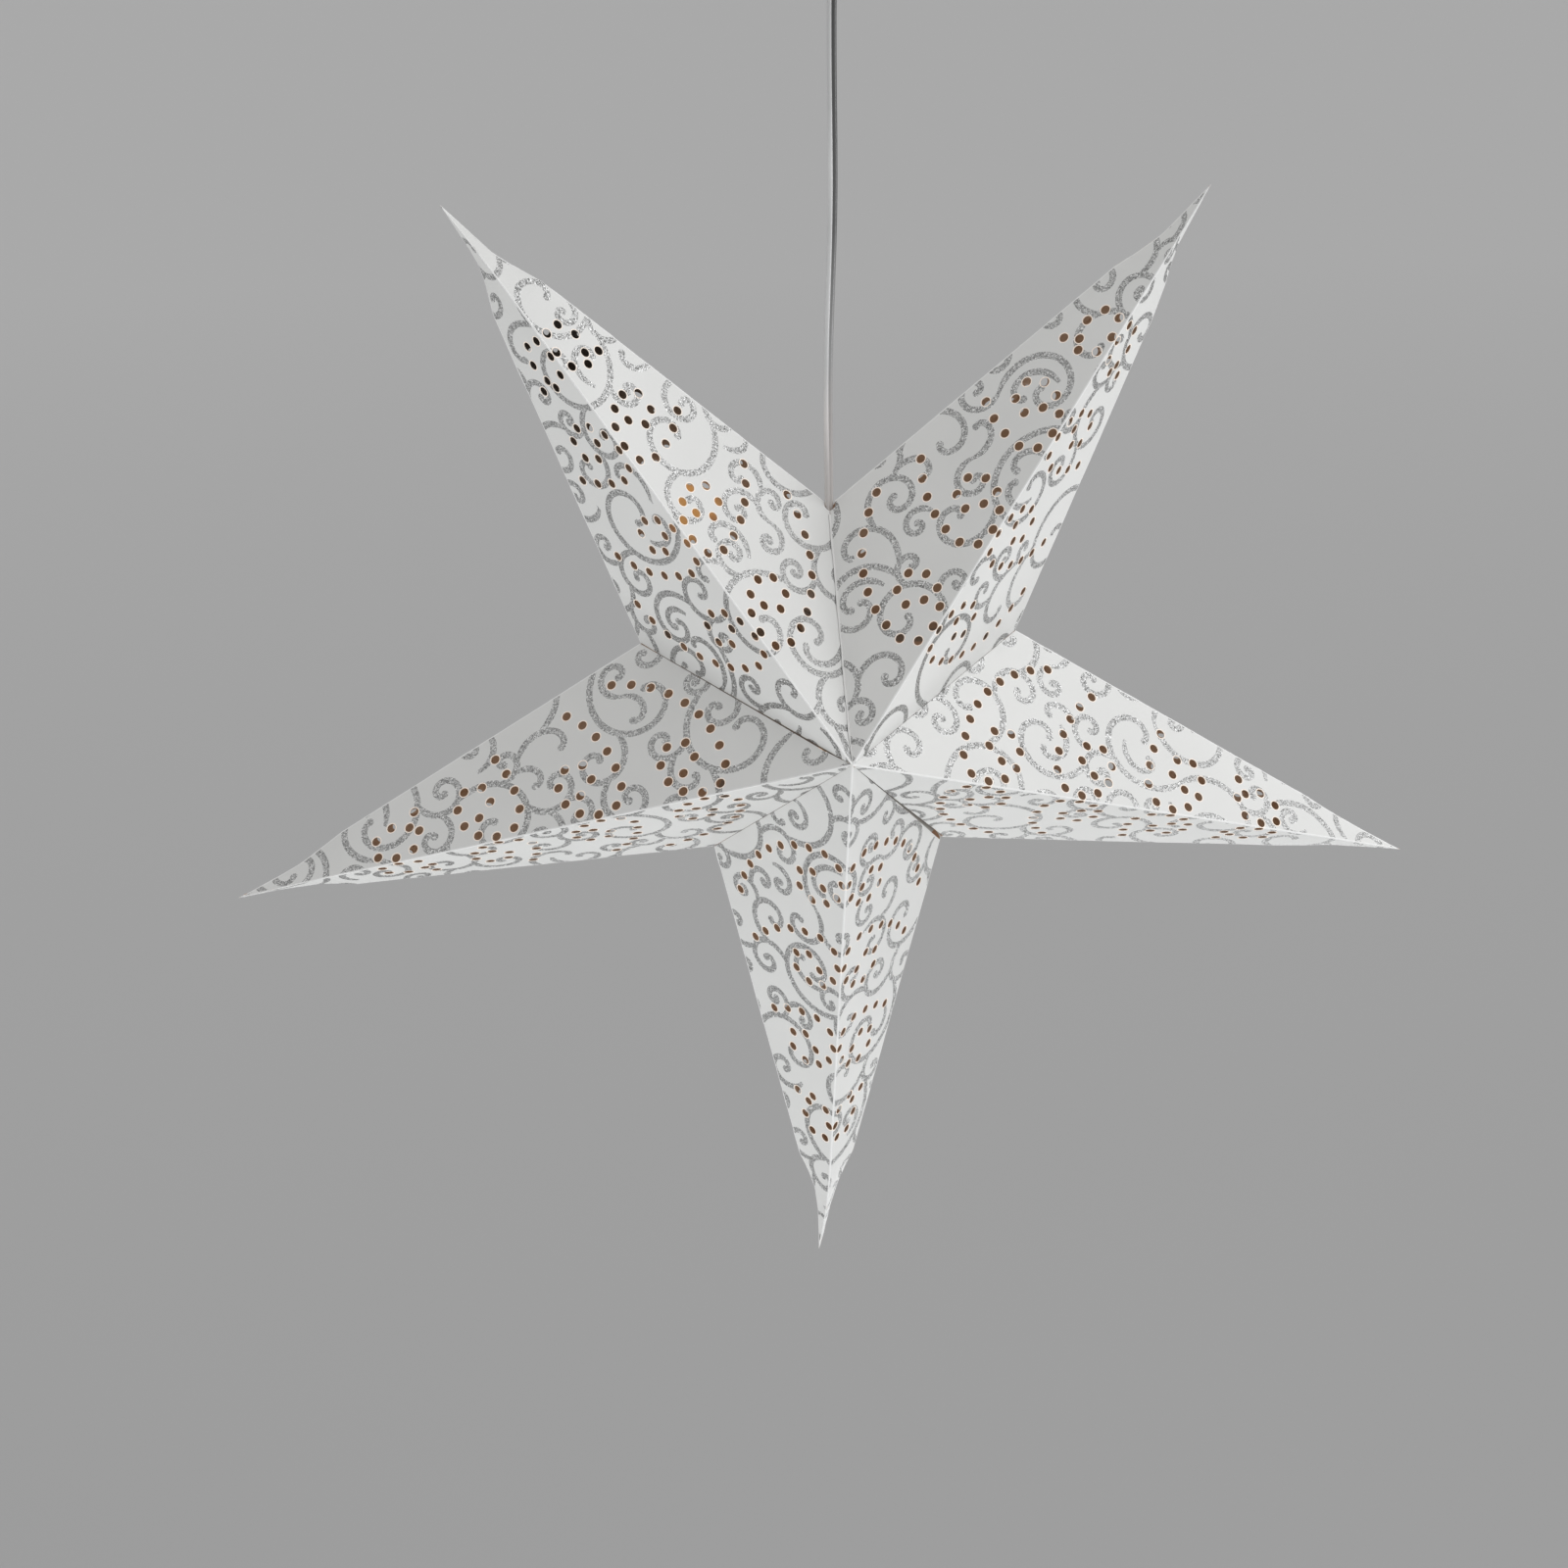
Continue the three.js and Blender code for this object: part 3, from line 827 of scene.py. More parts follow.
def sheet_holes():
    """Hole centres on the whole net: the same on every facet, mirrored about its ridge."""
    centres = []
    for facet in range(4):
        ridge = FACET_TURN * (1 if facet < 2 else 3)
        hand = -1 if facet in (0, 2) else 1
        along = polar(1, ridge)
        across = hand * polar(1, ridge + math.pi / 2)
        centres += [p.x * along + p.y * across for p in facet_holes()]
    return centres


def half_width(i):
    """A vine's half width at its point i."""
    return VINE_WIDTH / 2 * min(1.0, ROOT_SHARE + (1 - ROOT_SHARE) * i / WIDENED_BY)


def vine_outline(points):
    """A vine's two edges, as one closed line."""
    n = len(points)
    left, right = [], []
    for i, point in enumerate(points):
        along = (points[min(i + 1, n - 1)] - points[max(i - 1, 0)]).normalized()
        across = half_width(i) * Vector((-along.y, along.x))
        left.append(point + across)
        right.append(point - across)
    return left + right[::-1]


def facet_at(turn):
    return min(3, max(0, int(turn / FACET_TURN)))


def off_fold(p):
    """How far a point of the net is from the nearest fold."""
    turn = math.atan2(p.y, p.x)
    return p.length * abs(math.sin(turn - round(turn / FACET_TURN) * FACET_TURN))


def in_net(p, margin):
    """True if a point is on the net, or within margin of it."""
    turn = math.atan2(p.y, p.x)
    if turn < -0.5 * math.pi:
        turn += 2 * math.pi
    slack = margin / max(p.length, 1.0)
    if not -slack <= turn <= 4 * FACET_TURN + slack:
        return False
    a, b = NET_ENDS[facet_at(turn)], NET_ENDS[facet_at(turn) + 1]
    edge = (b - a).normalized()
    return (p - a).dot(Vector((edge.y, -edge.x))) <= margin


def lattice():
    """Inner points of the net, so that the card can bend."""
    count = int(RIDGE / MESH_PITCH) + 2
    inner = []
    for i in range(count):
        for j in range(count):
            p = Vector(((i + 0.5 * (j % 2)) * MESH_PITCH, j * MESH_PITCH * ROW_SHARE))
            if in_net(p, -EDGE_CLEAR):
                inner.append(p)
    return inner


def finder(points):
    """A search tree over points of the net."""
    tree = kdtree.KDTree(len(points))
    for i, p in enumerate(points):
        tree.insert((p.x, p.y, 0), i)
    tree.balance()
    return tree


class VineFinder:
    """Tells whether a point of the net is on a vine."""

    def __init__(self, vines):
        self.spots = []
        for vine in vines:
            for i, (here, there) in enumerate(zip(vine, vine[1:])):
                self.spots += [(here.lerp(there, k / 4), half_width(i)) for k in range(4)]
            self.spots.append((vine[-1], VINE_END))
        self.tree = finder([spot for spot, _ in self.spots])

    def covers(self, p):
        nearest = self.tree.find_n((p.x, p.y, 0), 3)
        return any(away <= self.spots[i][1] * VINE_SLACK for _, i, away in nearest)


class Arm:
    """One arm's card: its flat net is cut up by print, holes and folds, then folded onto the star."""

    def __init__(self, name, number):
        self.name = name
        vines = grow_vines(FIRST_VINE_SEED + number)
        self.vines = [vine for vine in vines if any(in_net(p, VINE_PAST_EDGE) for p in vine)]
        self.holes = sheet_holes()
        self.cut_ends = [NET_ENDS[i] for i in CORD_FOLDS.get(name, ())]
        self.phase = random.Random(FIRST_BULGE_SEED + number).uniform(0, 2 * math.pi)
        self.tip = on_star(TIP_RADIUS, ARM_TURN[name])
        first, second = [on_star(NOTCH_RADIUS, ARM_TURN[name] + side * ARM_STEP / 2) for side in (1, -1)]
        self.ends = [first, apex("front"), second, apex("back"), first]

    def edges(self):
        """Every line that the net is cut along, as a list of points and whether it is closed."""
        lines = [([NET_TIP, *NET_ENDS], True)]
        for i, end in enumerate(NET_ENDS):
            if 0 < i < 4:
                lines.append(([NET_TIP, end], False))
            across = FOLD_WIDTH * polar(1, i * FACET_TURN + math.pi / 2)
            if i > 0:
                lines.append(([-across, end - across], False))
            if i < 4:
                lines.append(([across, end + across], False))
        for vine in self.vines:
            lines.append((vine_outline(vine), True))
            lines.append((ring(VINE_END, VINE_END_SIDES, vine[-1]), True))
        for centre in self.holes:
            for radius in (HOLE_RADIUS, HOLE_RIM):
                lines.append((ring(radius, HOLE_SIDES, centre), True))
        for end in self.cut_ends:
            lines.append((ring(CORD_CUT, CORD_CUT_SIDES, end), True))
        return lines

    def cut(self):
        """The net's points and triangles, with the number of the look on each triangle."""
        points, edges = [], []
        for line, closed in self.edges():
            first = len(points)
            points += line
            n = len(line)
            edges += [(first + i, first + (i + 1) % n) for i in range(n if closed else n - 1)]
        made = delaunay_2d_cdt(points + lattice(), edges, [], 0, MERGE_WITHIN, False)
        points, triangles = made[0], made[2]
        on_vine = VineFinder(self.vines)
        punched = finder(self.holes)
        faces = []
        for face in triangles:
            middle = sum((points[v] for v in face), Vector((0, 0))) / len(face)
            from_hole = punched.find((middle.x, middle.y, 0))[2]
            by_cord = any((middle - end).length < CORD_CUT for end in self.cut_ends)
            if by_cord or from_hole < HOLE_RADIUS * ROUND_SLACK or not in_net(middle, 0):
                continue
            # the ring round each hole: its cut edge, with painted lamplight
            if from_hole < HOLE_RIM * ROUND_SLACK:
                look = ON_PAINTED_LIT_RIM
            elif off_fold(middle) < FOLD_WIDTH:
                look = ON_FOLD
            else:
                look = ON_VINE if on_vine.covers(middle) else ON_CARD
            faces.append((face, look))
        return points, faces

    def fold_point(self, p):
        """Where a point of the net comes to lie on the folded star."""
        facet = facet_at(math.atan2(p.y, p.x))
        a, b = NET_ENDS[facet], NET_ENDS[facet + 1]
        span = a.x * b.y - a.y * b.x
        u = (p.x * b.y - p.y * b.x) / span
        v = (a.x * p.y - a.y * p.x) / span
        to_a, to_b = self.ends[facet] - self.tip, self.ends[facet + 1] - self.tip
        spot = self.tip + u * to_a + v * to_b
        outward = to_a.cross(to_b).normalized()
        middle = AT_FACET_MIDDLE * max(u, 0) * max(v, 0) * max(0.0, 1 - u - v)
        wave = math.sin(BULGE_WAVES[0] * p.x + self.phase) * math.cos(BULGE_WAVES[1] * p.y - self.phase)
        spot += BULGE * MM * middle * (BULGE_MEAN + BULGE_SWING * wave) * outward
        spot += self.seam_shift(facet, u, v)
        spot = self.shape_tip(spot, p.length)
        if off_fold(p) < FOLD_LINE:
            axis_point = CENTRE + (spot - CENTRE).project(self.tip - CENTRE)
            spot += FOLD_DROP * MM * (axis_point - spot).normalized()
        return spot

    def shape_tip(self, spot, from_tip):
        """Card is stiff and narrow near a tip, so the last of it ends up pinched and a little bent."""
        near = max(0.0, 1 - from_tip / PINCH_REACH)
        if near == 0:
            return spot
        pinch, left, forward = TIP_SHAPE[self.name]
        sideways = arm_side(self.name)
        off_axis = (spot - CENTRE).dot(sideways)
        spot = spot - sideways * off_axis * pinch * min(1, PINCH_RISE * near)
        return spot + near**2 * MM * (left * sideways + forward * Vector((0, -1, 0)))

    def seam_shift(self, facet, u, v):
        """The card's edge draws back a little from the seam."""
        off_seam = (1 - u - v) * RIDGE * SIDE * math.sin(FACET_TURN) / VALLEY
        near = max(0.0, 1 - off_seam / GAP_REACH)
        if near == 0:
            return Vector()
        share = v / (u + v)
        from_apex = 1 - share if facet in (0, 2) else share
        widths = SEAM_GAPS.get((self.name, facet), SEAM_GAP)
        width = float(np.interp(from_apex, SEAM_STOPS, widths))
        away = self.tip - self.ends[facet].lerp(self.ends[facet + 1], share)
        return near * width * MM * away.normalized()

    def build(self):
        points, faces = self.cut()
        used = sorted({v for face, _ in faces for v in face})
        number = {v: i for i, v in enumerate(used)}
        mesh = bpy.data.meshes.new(f"arm_{self.name}_card")
        folded = [self.fold_point(points[v]) for v in used]
        mesh.from_pydata(folded, [], [[number[v] for v in face] for face, _ in faces])
        for material in (*CARD_OUTSIDE, *[INSIDE_PAINTED_LIGHT for _ in CARD_OUTSIDE], CUT):
            mesh.materials.append(material)
        mesh.polygons.foreach_set("material_index", [look for _, look in faces])
        card = linked(mesh.name, mesh)
        count = len(CARD_OUTSIDE)
        return thickened(card, CARD_THICK, -1, material_offset=count, material_offset_rim=2 * count)


def fold_with(obj, arm, *nodes):
    """obj, shown for some nodes, rides on an arm as the star folds, with a mesh of its own."""
    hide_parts(*nodes)
    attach(obj, f"arm_{arm}")
    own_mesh(obj)


for number, arm_name in enumerate(ARM_TURN):
    card = Arm(arm_name, number).build()
    fold_with(card, arm_name, *[f"panel_{arm_name}_{face}_{hand}" for face in FACES for hand in HANDS])


# -------- flaps and closing strips

# Glue flaps: each starts a little behind its seam and tapers to both ends. Spans are shares of the
# seam from the apex to the notch.
FLAP_WIDTH = 10
FLAP_SPAN = (0.03, 0.93)
FLAP_POINT = 0.14
FLAP_POINT_WIDTH = 0.15
FLAP_MIDDLE = 0.4
FLAP_TAPER = 0.06
FLAP_BACK = 2.4
FLAP_THICK = 0.35
FLAP_DEPTH = 1.1
FLAP_WAVE = 0.12
FLAP_STEPS = 12

# The turn of each glued seam, and the arm whose facets the flap is stuck to.
GLUED_SEAMS = {
    "upper_right": (18, "right"),
    "lower_right": (-54, "bottom"),
    "lower_left": (234, "left"),
    "upper_left": (162, "top_left"),
}

# Closing strips: each turns from its arm's edge, STRIP_EDGE beside the seam and outside it, down
# through points beside the seam and below it. The left one ends in a wavy lip that lies outside,
# along its own arm's facet.
STRIP_SPAN = (0.015, 0.96)
STRIP_STEPS = 60
STRIP_THICK = 0.28
STRIP_EDGE = (0.16, 0.35)
STRIP_TURN = ((0.5, 0.8), (0.7, 1.5))
STRIP_FOOT = 0.75
STRIP_DEPTH = 10
STRIP_END_SLOPE = 9
LIP_WIDTH = 1.25
LIP_WIDTH_WAVE = 0.28
LIP_OUT = 0.42
LIP_OUT_WAVE = 0.15
LIP_MIDDLE_OUT = 0.4


def ribbon(name, rows, thick, material):
    """A strip of card through rows of points, thickened."""
    mesh = bpy.data.meshes.new(name)
    n = len(rows[0])
    faces = [
        (i * n + j, i * n + j + 1, (i + 1) * n + j + 1, (i + 1) * n + j)
        for i in range(len(rows) - 1)
        for j in range(n - 1)
    ]
    mesh.from_pydata([p for row in rows for p in row], [], faces)
    mesh.materials.append(material)
    return thickened(linked(name, mesh), thick, 0)


def square_to(edge, vector):
    """The direction of vector, squared to an edge."""
    return (vector - vector.project(edge)).normalized()


def seam_frame(face, degrees, arm):
    """A seam's start at the apex, the edge to its notch, the way across its facet, and outward."""
    start = apex(face)
    edge = on_star(NOTCH_RADIUS, degrees) - start
    across = square_to(edge, on_star(TIP_RADIUS, ARM_TURN[arm]) - start)
    outward = edge.cross(across).normalized()
    if outward.dot(CENTRE - start) > 0:
        outward.negate()
    return start, edge, across, outward


def glue_flap(seam, face):
    """The tab that joins two arms, stuck to the inside of one's facet."""
    degrees, arm = GLUED_SEAMS[seam]
    start, edge, across, outward = seam_frame(face, degrees, arm)
    first, last = FLAP_SPAN
    rows = []
    for i in range(FLAP_STEPS + 1):
        share = i / FLAP_STEPS
        along = first + (last - first) * share
        width = FLAP_WIDTH * min(1, FLAP_POINT_WIDTH + along / FLAP_POINT)
        row = []
        for j, reach in enumerate((-FLAP_BACK, FLAP_MIDDLE * width, width)):
            taper = FLAP_TAPER * (j / 2) * (1 - 2 * share)
            depth = FLAP_DEPTH + FLAP_WAVE * math.sin(9 * share + j)
            row.append(start + edge * (along + taper) + across * reach * MM - outward * depth * MM)
        rows.append(row)
    flap = ribbon(f"glue_flap_{seam}_{face}", rows, FLAP_THICK, FLAP_PAINTED_SHADE)
    fold_with(flap, arm, f"flap_{seam}_{face}")


def top_seam_point(face, share, deep):
    """A point a share of the way from an apex to the top notch, and deep mm below the seam."""
    start = apex(face)
    edge = on_star(NOTCH_RADIUS, TOP_NOTCH) - start
    return start + edge * share + square_to(edge, CENTRE - start) * deep * MM


def lip_wave(share):
    """How uneven the lip is at a share of its length, from about -0.85 to 0.85."""
    return 0.5 * math.sin(23 * share) + 0.35 * math.sin(51 * share + 1)


def closing_strip(face, hand):
    """One card edge of the top seam, which folds down inside the star."""
    arm = f"top_{hand}"
    _, _, across, outward = seam_frame(face, TOP_NOTCH, arm)
    sideways = Vector((-1 if hand == "left" else 1, 0, 0))
    first, last = STRIP_SPAN
    rows = []
    for i in range(STRIP_STEPS + 1):
        share = i / STRIP_STEPS
        along = first + (last - first) * share
        wave = lip_wave(share)
        deep = STRIP_DEPTH * min(1, STRIP_END_SLOPE * share, STRIP_END_SLOPE * (1 - share))
        at_seam = top_seam_point(face, along, 0)
        row = []
        if hand == "left":
            lip = LIP_WIDTH * (1 + LIP_WIDTH_WAVE * wave) * min(1, 6 * share + 0.3)
            row.append(at_seam + across * lip * MM + outward * (LIP_OUT + LIP_OUT_WAVE * wave) * MM)
            row.append(at_seam + across * 0.5 * lip * MM + outward * LIP_MIDDLE_OUT * MM)
        row.append(at_seam + sideways * STRIP_EDGE[0] * MM + outward * STRIP_EDGE[1] * MM)
        for beside, below in (*STRIP_TURN, (STRIP_FOOT, STRIP_TURN[-1][1] + deep)):
            row.append(top_seam_point(face, along, below) + sideways * beside * MM)
        rows.append(row)
    strip = ribbon(f"closing_edge_{face}_{hand}", rows, STRIP_THICK, CARD)
    fold_with(strip, arm, f"closing_strip_{face}_{hand}")


for face in FACES:
    for seam in GLUED_SEAMS:
        glue_flap(seam, face)
    for hand in HANDS:
        closing_strip(face, hand)


# -------- ceiling fitting, in millimetres, with height 0 at the ceiling

METAL = {"Metallic": 1.0}
WHITE_PLASTIC = plain_material("white_plastic", (0.76, 0.76, 0.74), 0.32, (700.0, 0.05))
CERAMIC = plain_material("ceramic", (0.74, 0.72, 0.66), 0.25, (300.0, 0.05), Coat_Weight=0.4)
STEEL = plain_material("steel", (0.56, 0.57, 0.58), 0.34, (800.0, 0.12), **METAL)
BRASS = plain_material("brass", (0.72, 0.53, 0.25), 0.28, (600.0, 0.08), **METAL)
CAP_METAL = plain_material("cap_metal", (0.68, 0.68, 0.69), 0.25, (500.0, 0.08), **METAL)
GLASS_BLACK = plain_material("black_glass", (0.02, 0.02, 0.022), 0.12)
CORE_SLEEVE = plain_material("core_sleeve", (0.62, 0.60, 0.55), 0.35)


def ceiling_cup():
    outer = [(46, -11), (45.2, -16.5), (42.6, -22.5), (38.5, -28), (32, -32.8), (22, -35.9)]
    inner = [(20, -34.6), (31.4, -31.2), (37.1, -26.8), (41, -21.6), (43.6, -16), (44.4, -11)]
    lip = [(44.4, 0), (45.7, 0), (46, -0.3), (46, -2.4), (45.7, -2.8), (46, -3.2)]
    floor = [(9.4, -37.9), (8.6, -38), (5.2, -38), (5.2, -36.4), (9, -36.4)]
    cup = turned("cup", lip + rounded(outer, 1.6) + floor + rounded(inner, 1.6), sides=128)
    in_place_of(cup, "ceiling_fitting", "ceiling_cup", WHITE_PLASTIC)


def stadium(length, width, corner=3, sides=12):
    """A strip's outline with round corners."""
    loop = []
    for k, (x, y) in enumerate(((1, 1), (-1, 1), (-1, -1), (1, -1))):
        middle = Vector((x * (length / 2 - corner), y * (width / 2 - corner)))
        loop += [middle + polar(corner, (k + i / sides) * math.pi / 2) for i in range(sides + 1)]
    return loop


SCREW_FOOT = -4.6
SCREWS = {"a": -25, "b": 25}


def bracket():
    """A strap with two holes and two slots, and its two countersunk cross-head screws."""
    holes = [ring(2.5, 28, (x, 0)) for x in SCREWS.values()]
    slots = [[p * 0.22 + Vector((x, 0)) for p in stadium(40, 16)] for x in (-13.5, 13.5)]
    strap = plate("bracket", [stadium(78, 15), *holes, *slots], -2, 0, 0.3)
    in_place_of(strap, "ceiling_fitting", "mounting_bracket", STEEL)
    for name, x in SCREWS.items():
        head = [(0, SCREW_FOOT), (2.2, SCREW_FOOT), (3.5, -4.1), (4.2, -3.2), (4.3, -2.3)]
        neck = [(1.6, -2.3), (1.6, 0), (0, 0)]
        screw = finished(turned(f"screw_{name}", head + neck, sides=40, at=(x, 0)), STEEL)
        for turn in (0.3, 0.3 + math.pi / 2):
            middle = (x * MM, 0, SCREW_FOOT * MM)
            bpy.ops.mesh.primitive_cube_add(size=1, location=middle, rotation=(0, 0, turn))
            cross = bpy.context.object
            cross.scale = (4.2 * MM, 0.8 * MM, 1.8 * MM)
            cut = screw.modifiers.new("cross", "BOOLEAN")
            cut.operation = "DIFFERENCE"
            cut.solver = "EXACT"
            cut.object = cross
            flatten_modifiers(screw)
            bpy.data.objects.remove(cross)
        shank = threaded(f"shank_{name}", -1.9, 16, 1.9, 0.5, 1.6, sides=24, at=(x, 0))
        point = turned(f"point_{name}", [(1.4, 16), (0, 20)], sides=24, at=(x, 0))
        joined(screw, finished(shank, STEEL, 60), finished(point, STEEL))
        in_place_of(screw, "ceiling_fitting", f"bracket_screw_{name}")


def grip():
    body = [(2.9, -41), (6.4, -41), (7.5, -40.6), (8, -39.8), (8, -38.5), (7.8, -38.3), (4.8, -38.3)]
    neck = [(4.8, -30.5), (4.5, -30), (2.9, -30)]
    made = fluted(turned("grip", body + neck, sides=120), 20, 0.5, -40.7, -38.2, 7)
    thread = threaded("grip_thread", -37.6, -30.4, 5.0, 0.3, 1.0, wall=1.5)
    joined(finished(made, WHITE_PLASTIC), finished(thread, WHITE_PLASTIC, 60))
    in_place_of(made, "ceiling_fitting", "cord_grip")
    nut = plate("nut", [ring(9, 6), ring(5.3, 40)], -36, -32, 0.4)
    in_place_of(nut, "ceiling_fitting", "grip_nut", WHITE_PLASTIC)


QUARTER_TURN = Matrix.Rotation(math.pi / 2, 4, "X")


def terminals():
    """Two screw towers on one base, and the cord's two cores that go up into them."""
    towers = [(-9, -8), (-9, -15), (-2.8, -15), (-2.8, -9), (2.8, -9), (2.8, -15), (9, -15), (9, -8)]
    outline = [(-11, -2.4), (-11, -8), *towers, (11, -8), (11, -2.4)]
    block = plate("terminals", [outline[::-1]], -6.5, 6.5, 0.5)
    block.data.transform(QUARTER_TURN)
    finished(block, CERAMIC)
    for x in (-5.9, 5.9):
        screw = plate(f"clamp_screw{x:.0f}", [ring(1.7, 24, (x, -11.6))], -0.6, 0.6, 0.2)
        screw.data.transform(Matrix.Translation((0, -6.7 * MM, 0)) @ QUARTER_TURN)
        joined(block, finished(screw, BRASS))
    in_place_of(block, "ceiling_fitting", "terminal_block")
    flat = [Vector((0, 0, z)) * MM for z in (-40.5, -35, -30, -24)]
    tail = finished(swept("tail", flat, CORD_SECTION), CORD_BRIGHT, 60)
    for side in (-1, 1):
        route = [(1.05, 0, -24.4), (1.3, 0, -22), (3.4, 0, -19), (5.7, 0, -17.4), (5.9, 0, -14.8)]
        path = rounded([Vector((side * x, y, z)) * MM for x, y, z in route], 0.5 * MM)
        joined(tail, finished(swept(f"core{side}", path, ring(0.95 * MM, 16)), CORE_SLEEVE, 60))
    in_place_of(tail, "ceiling_fitting", "cord_tail")


ceiling_cup()
bracket()
grip()
terminals()


# -------- lampholder, hanger and bulb, in millimetres, with height 0 at the star's centre

STAR = CENTRE.z / MM
COLLAR_REACH = 17.2
WIRE_RADIUS = 1.0
WIRE_BELOW_SEAM = 12.9
GLOBE_RADIUS = 22.5
GLOBE_MIDDLE = -38
GLOBE_TOP = -23.9

# Frosted plastic, lit from within by a dim warm lamp.
LAMP_GLOW = {"Emission_Color": (1.0, 0.6, 0.32, 1), "Emission_Strength": 0.5}
GLOBE = plain_material("globe", (0.62, 0.57, 0.50), 0.35, **LAMP_GLOW)


def strain_relief():
    ribs = []
    for k in range(5):
        low = 67.6 + 2.3 * k
        r = 4.55 - 0.25 * k
        ribs += [(r - 0.6, low), (r - 0.6, low + 0.7), (r, low + 0.9), (r - 0.1, low + 2.2)]
    profile = [(2.6, 62.3), (5.5, 62.3), (5.6, 62.6), (5.6, 65.6), (5.0, 66.4), (4.2, 67.0), *ribs]
    made = turned("boot", profile + [(3.2, 80), (2.6, 80)], STAR, 56)
    in_place_of(made, "lampholder", "strain_relief", SOFT_PLASTIC)


def holder():
    dome = rounded([(14, 51.5), (13.7, 54.5), (12.4, 57.8), (10, 60.4), (7, 61.8), (5.8, 62)], 0.7)
    foot = [(11.8, 36.2), (13.7, 36.2), (14, 36.5), (14, 38.2), (13.6, 38.5), (13.6, 39.1), (14, 39.4)]
    under = [(2.7, 62), (2.7, 59.6), (7, 59), (10.4, 56), (11.8, 52)]
    cap = turned("holder_top", foot + dome + under, STAR, 96)
    in_place_of(cap, "lampholder", "holder_cap", WHITE_PLASTIC)
    lip = [(11.8, -2), (14.2, -2), (14.6, -1.6), (14.6, 0.6), (14.3, 1.2), (14, 1.9), (14, 4)]
    wall = [(14, 4 + 2 * k) for k in range(1, 14)] + [(14, 35.2), (13.7, 35.7), (11.8, 35.7)]
    shell = fluted(turned("holder_sleeve", lip + wall, STAR, 216), 36, 0.4, STAR + 5, STAR + 31, 13)
    in_place_of(shell, "lampholder", "holder_shell", WHITE_PLASTIC)
    disc = [(0, 25.5), (10.8, 25.5), (11.4, 26.1), (11.4, 32.4), (10.8, 33), (0, 33)]
    in_place_of(turned("contact_base", disc, STAR), "lampholder", "contact_carrier", CERAMIC)
    button = [(0, 24.2), (1.6, 24.25), (2.6, 24.5), (3, 24.9), (3, 25.2), (0, 25.2)]
    in_place_of(turned("contact", button, STAR, 32), "lampholder", "centre_contact", BRASS)
    nest = threaded("nest", 3, 25.2, 8.0, 0.25, 2.8, STAR, wall=0.35)
    in_place_of(nest, "lampholder", "threaded_sleeve", BRASS, 60)


def hanger():
    """A collar on the lampholder with two wire arms, which the top seam's edges rest on."""
    outer = [(14.6, 44), (15.8, 44), (16.2, 44.4), (16.2, 48.6), (15.8, 49), (14.6, 49)]
    collar = [(14.3, 44.3), *outer, (14.3, 48.7)]
    in_place_of(turned("collar", collar, STAR, 96), "lampholder", "hanger_collar", STEEL)
    for face, sign in (("front", -1), ("back", 1)):
        heights = ((COLLAR_REACH, 36), (COLLAR_REACH, 44), (COLLAR_REACH + 3, 52))
        points = [CENTRE + Vector((0, sign * y, z)) * MM for y, z in heights]
        points += [top_seam_point(face, share, WIRE_BELOW_SEAM) for share in (0.7, 0.63)]
        wire = swept(f"wire_{face}", rounded(points, 0.8 * MM), ring(WIRE_RADIUS * MM, 16))
        in_place_of(wire, "lampholder", f"hanger_arm_{face}", STEEL, 60)


def bulb():
    skirt = [(0, -3.6), (6.4, -3.6), (6.7, -3.3), (6.7, 1.8), (6.3, 2.6), (0, 2.6)]
    cap = turned("cap_skirt", skirt, STAR, 64)
    screw = threaded("cap_thread", 2.2, 21.2, 6.9, 0.55, 2.8, STAR, sides=64)
    shoulder = turned("cap_end", [(6.3, 21.1), (6.1, 21.6), (5.2, 22), (0, 22)], STAR, 64)
    joined(finished(cap, CAP_METAL), finished(screw, CAP_METAL, 60), finished(shoulder, CAP_METAL))
    in_place_of(cap, "bulb", "bulb_cap")
    cone = turned("cap_glass", [(4.6, 22.05), (3.0, 22.9), (0, 22.9)], STAR, 40)
    drop = [(2.6, 22.9), (2.3, 23.5), (1.4, 23.85), (0, 23.9)]
    solder = turned("cap_solder", drop, STAR, 40)
    joined(finished(cone, GLASS_BLACK), finished(solder, BRASS))
    in_place_of(cone, "bulb", "bulb_tip")
    cup = rounded([(9.0, -4.4), (11, -8), (13.3, -13), (15.6, -18), (17.4, -22.4), (17.9, -23.6)], 0.8)
    shape = [(0, -3.9), (8.6, -3.9)] + cup + [(0, -23.6)]
    housing = fluted(turned("bulb_body", shape, STAR, 168), 28, 0.5, STAR - 21, STAR - 7, 9)
    in_place_of(housing, "bulb", "bulb_housing", WHITE_PLASTIC)
    top = math.acos((GLOBE_TOP - GLOBE_MIDDLE) / GLOBE_RADIUS)
    arcs = [math.pi + (top - math.pi) * i / 40 for i in range(41)]
    ball = [(GLOBE_RADIUS * math.sin(a), GLOBE_MIDDLE + GLOBE_RADIUS * math.cos(a)) for a in arcs]
    ball[0] = (0, ball[0][1])
    in_place_of(turned("bulb_glass", ball + [(0, GLOBE_TOP)], STAR), "bulb", "bulb_globe", GLOBE)


strain_relief()
holder()
hanger()
bulb()


# -------- surroundings

FLOOR_DROP = 2.0
FLOOR_SIZE = 120
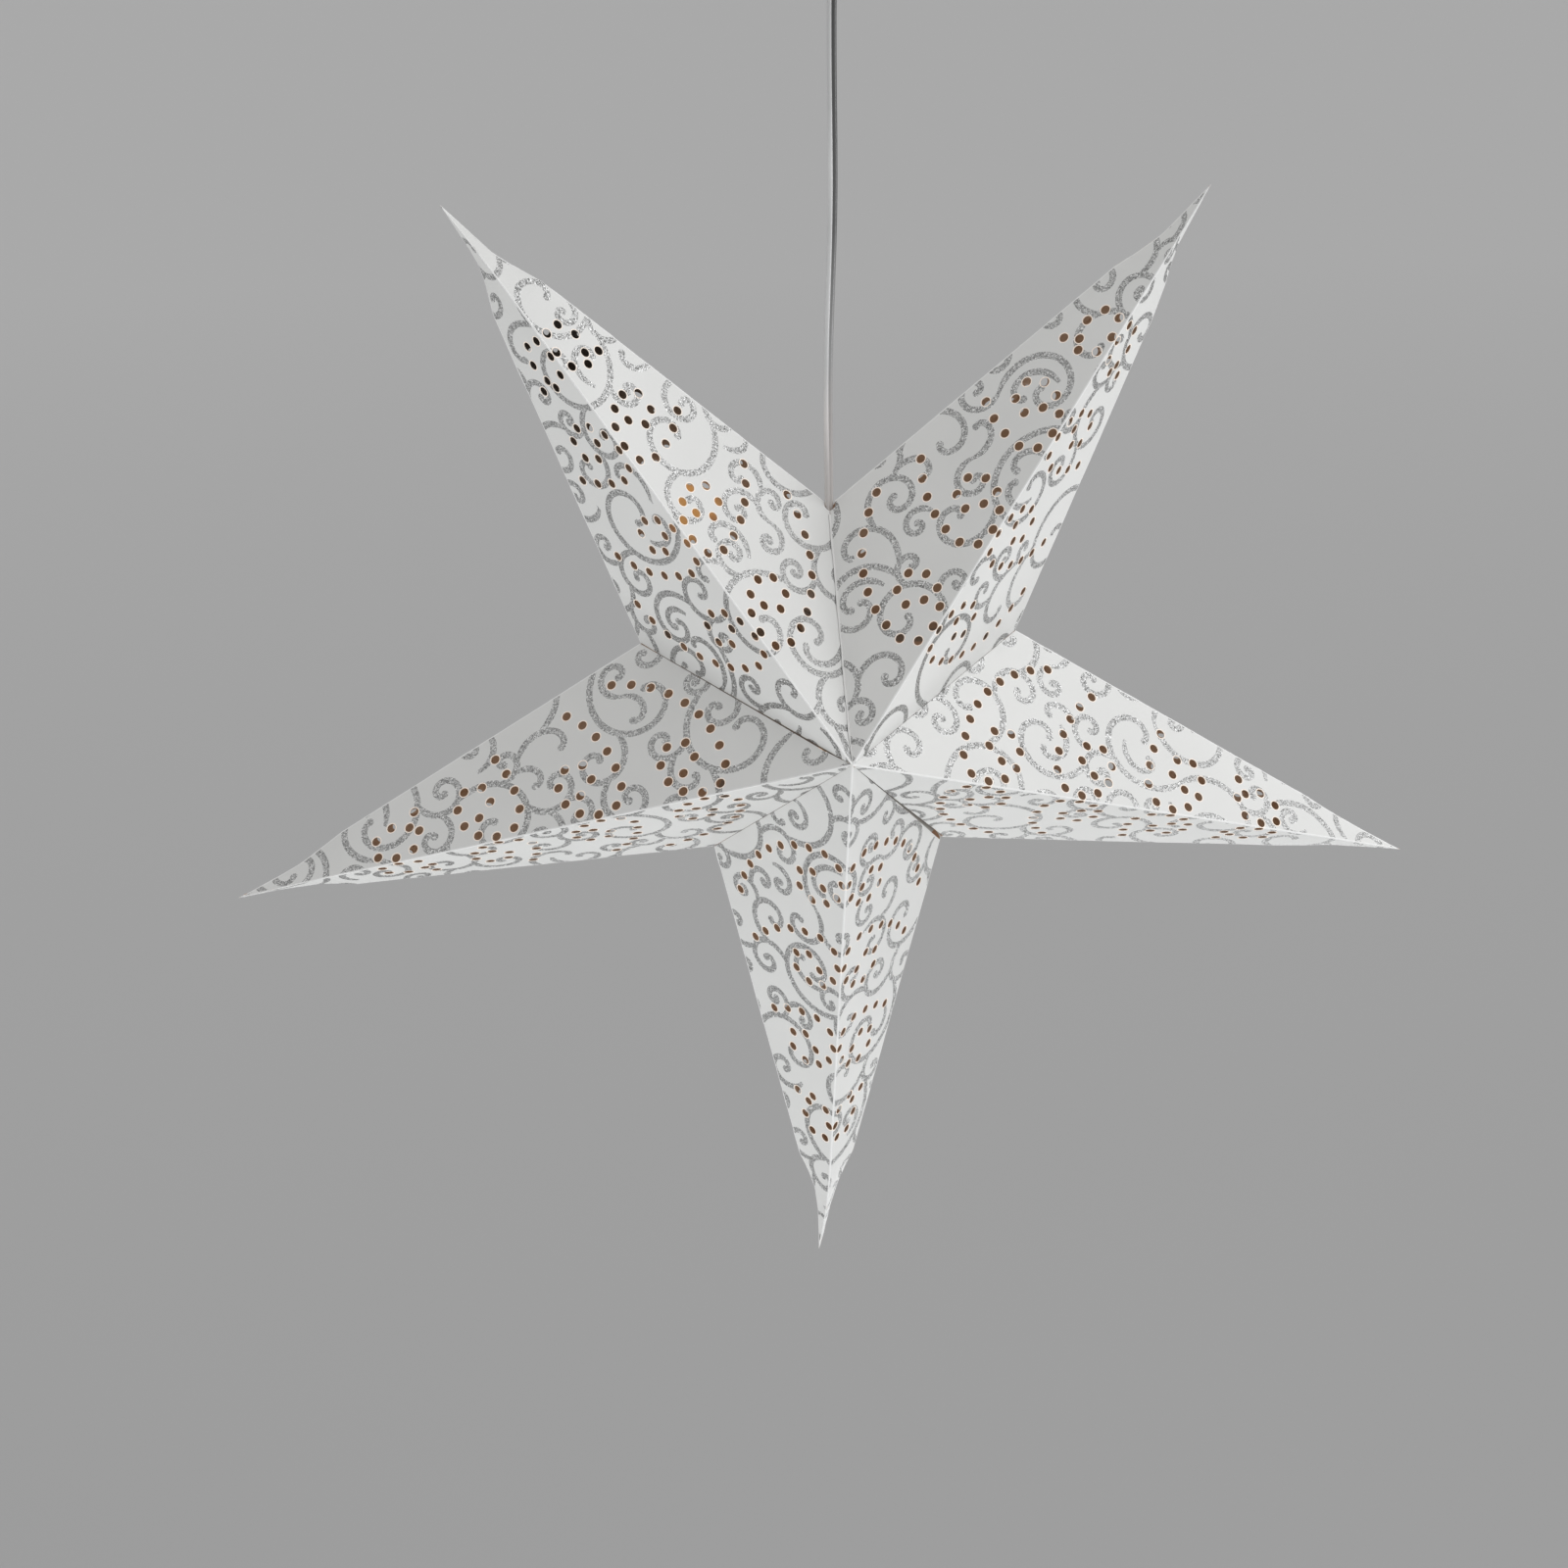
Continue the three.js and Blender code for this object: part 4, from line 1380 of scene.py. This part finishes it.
# painted shade: the floor is darker toward the front, the fall-off of light toward the bottom of the view
FLOOR_PAINTED_SHADE_TONES = [(0.0, grey(0.47)), (0.26, grey(0.52)), (1.0, grey(0.62))]
FLOOR_NEAR = 2.0
FLOOR_FAR = 9.0
WORLD_STRENGTH = 0.62
COOL = (0.97, 0.99, 1.0)
PALE = (0.98, 0.99, 1.0)

# Each light: azimuth and elevation in degrees (azimuth 0 is the front, 90 the right), distance from
# the star's centre, watts, side of its square, and colour.
LIGHTS = {
    "low_light": (-20, -50, 2.3, 22, 1.0, COOL),
    "side_light": (56, 2, 2.6, 17, 1.2, PALE),
    "high_light": (92, 38, 2.4, 13, 1.6, PALE),
    "back_light": (150, -38, 2.4, 12, 1.6, PALE),
    "left_light": (-112, -38, 2.4, 5, 1.6, PALE),
}


def area_light(name, azimuth, elevation, away, power, size, colour):
    """A square light aimed at the star."""
    data = bpy.data.lights.new(name, "AREA")
    data.energy = power
    data.size = size
    data.color = colour
    light = linked(name, data)
    turn, rise = math.radians(azimuth), math.radians(elevation)
    level = math.cos(rise)
    toward = Vector((math.sin(turn) * level, -math.cos(turn) * level, math.sin(rise)))
    light.location = CENTRE + away * toward
    light.rotation_euler = toward.to_track_quat("Z", "Y").to_euler()
    light.visible_camera = False


def floor_material():
    """Pale floor, painted darker near the front as painted shade."""
    material, tree, shader = new_material("floor", Roughness=0.9)
    tone = ramp_between(tree, coordinate(tree, "Y"), FLOOR_NEAR, FLOOR_FAR, FLOOR_PAINTED_SHADE_TONES)
    join(tone, shader, "Base Color")
    return material


def surroundings():
    world = bpy.data.worlds.new("studio")
    world.use_nodes = True
    adjust(world.node_tree.nodes["Background"], {"Color": grey(1.0), "Strength": WORLD_STRENGTH})
    bpy.context.scene.world = world
    bpy.context.scene.view_settings.view_transform = "Standard"
    bpy.ops.mesh.primitive_plane_add(size=FLOOR_SIZE, location=(0, 0, CENTRE.z - FLOOR_DROP))
    floor = bpy.context.object
    floor.name = "floor"
    floor.data.materials.append(floor_material())
    for name, settings in LIGHTS.items():
        area_light(name, *settings)


surroundings()
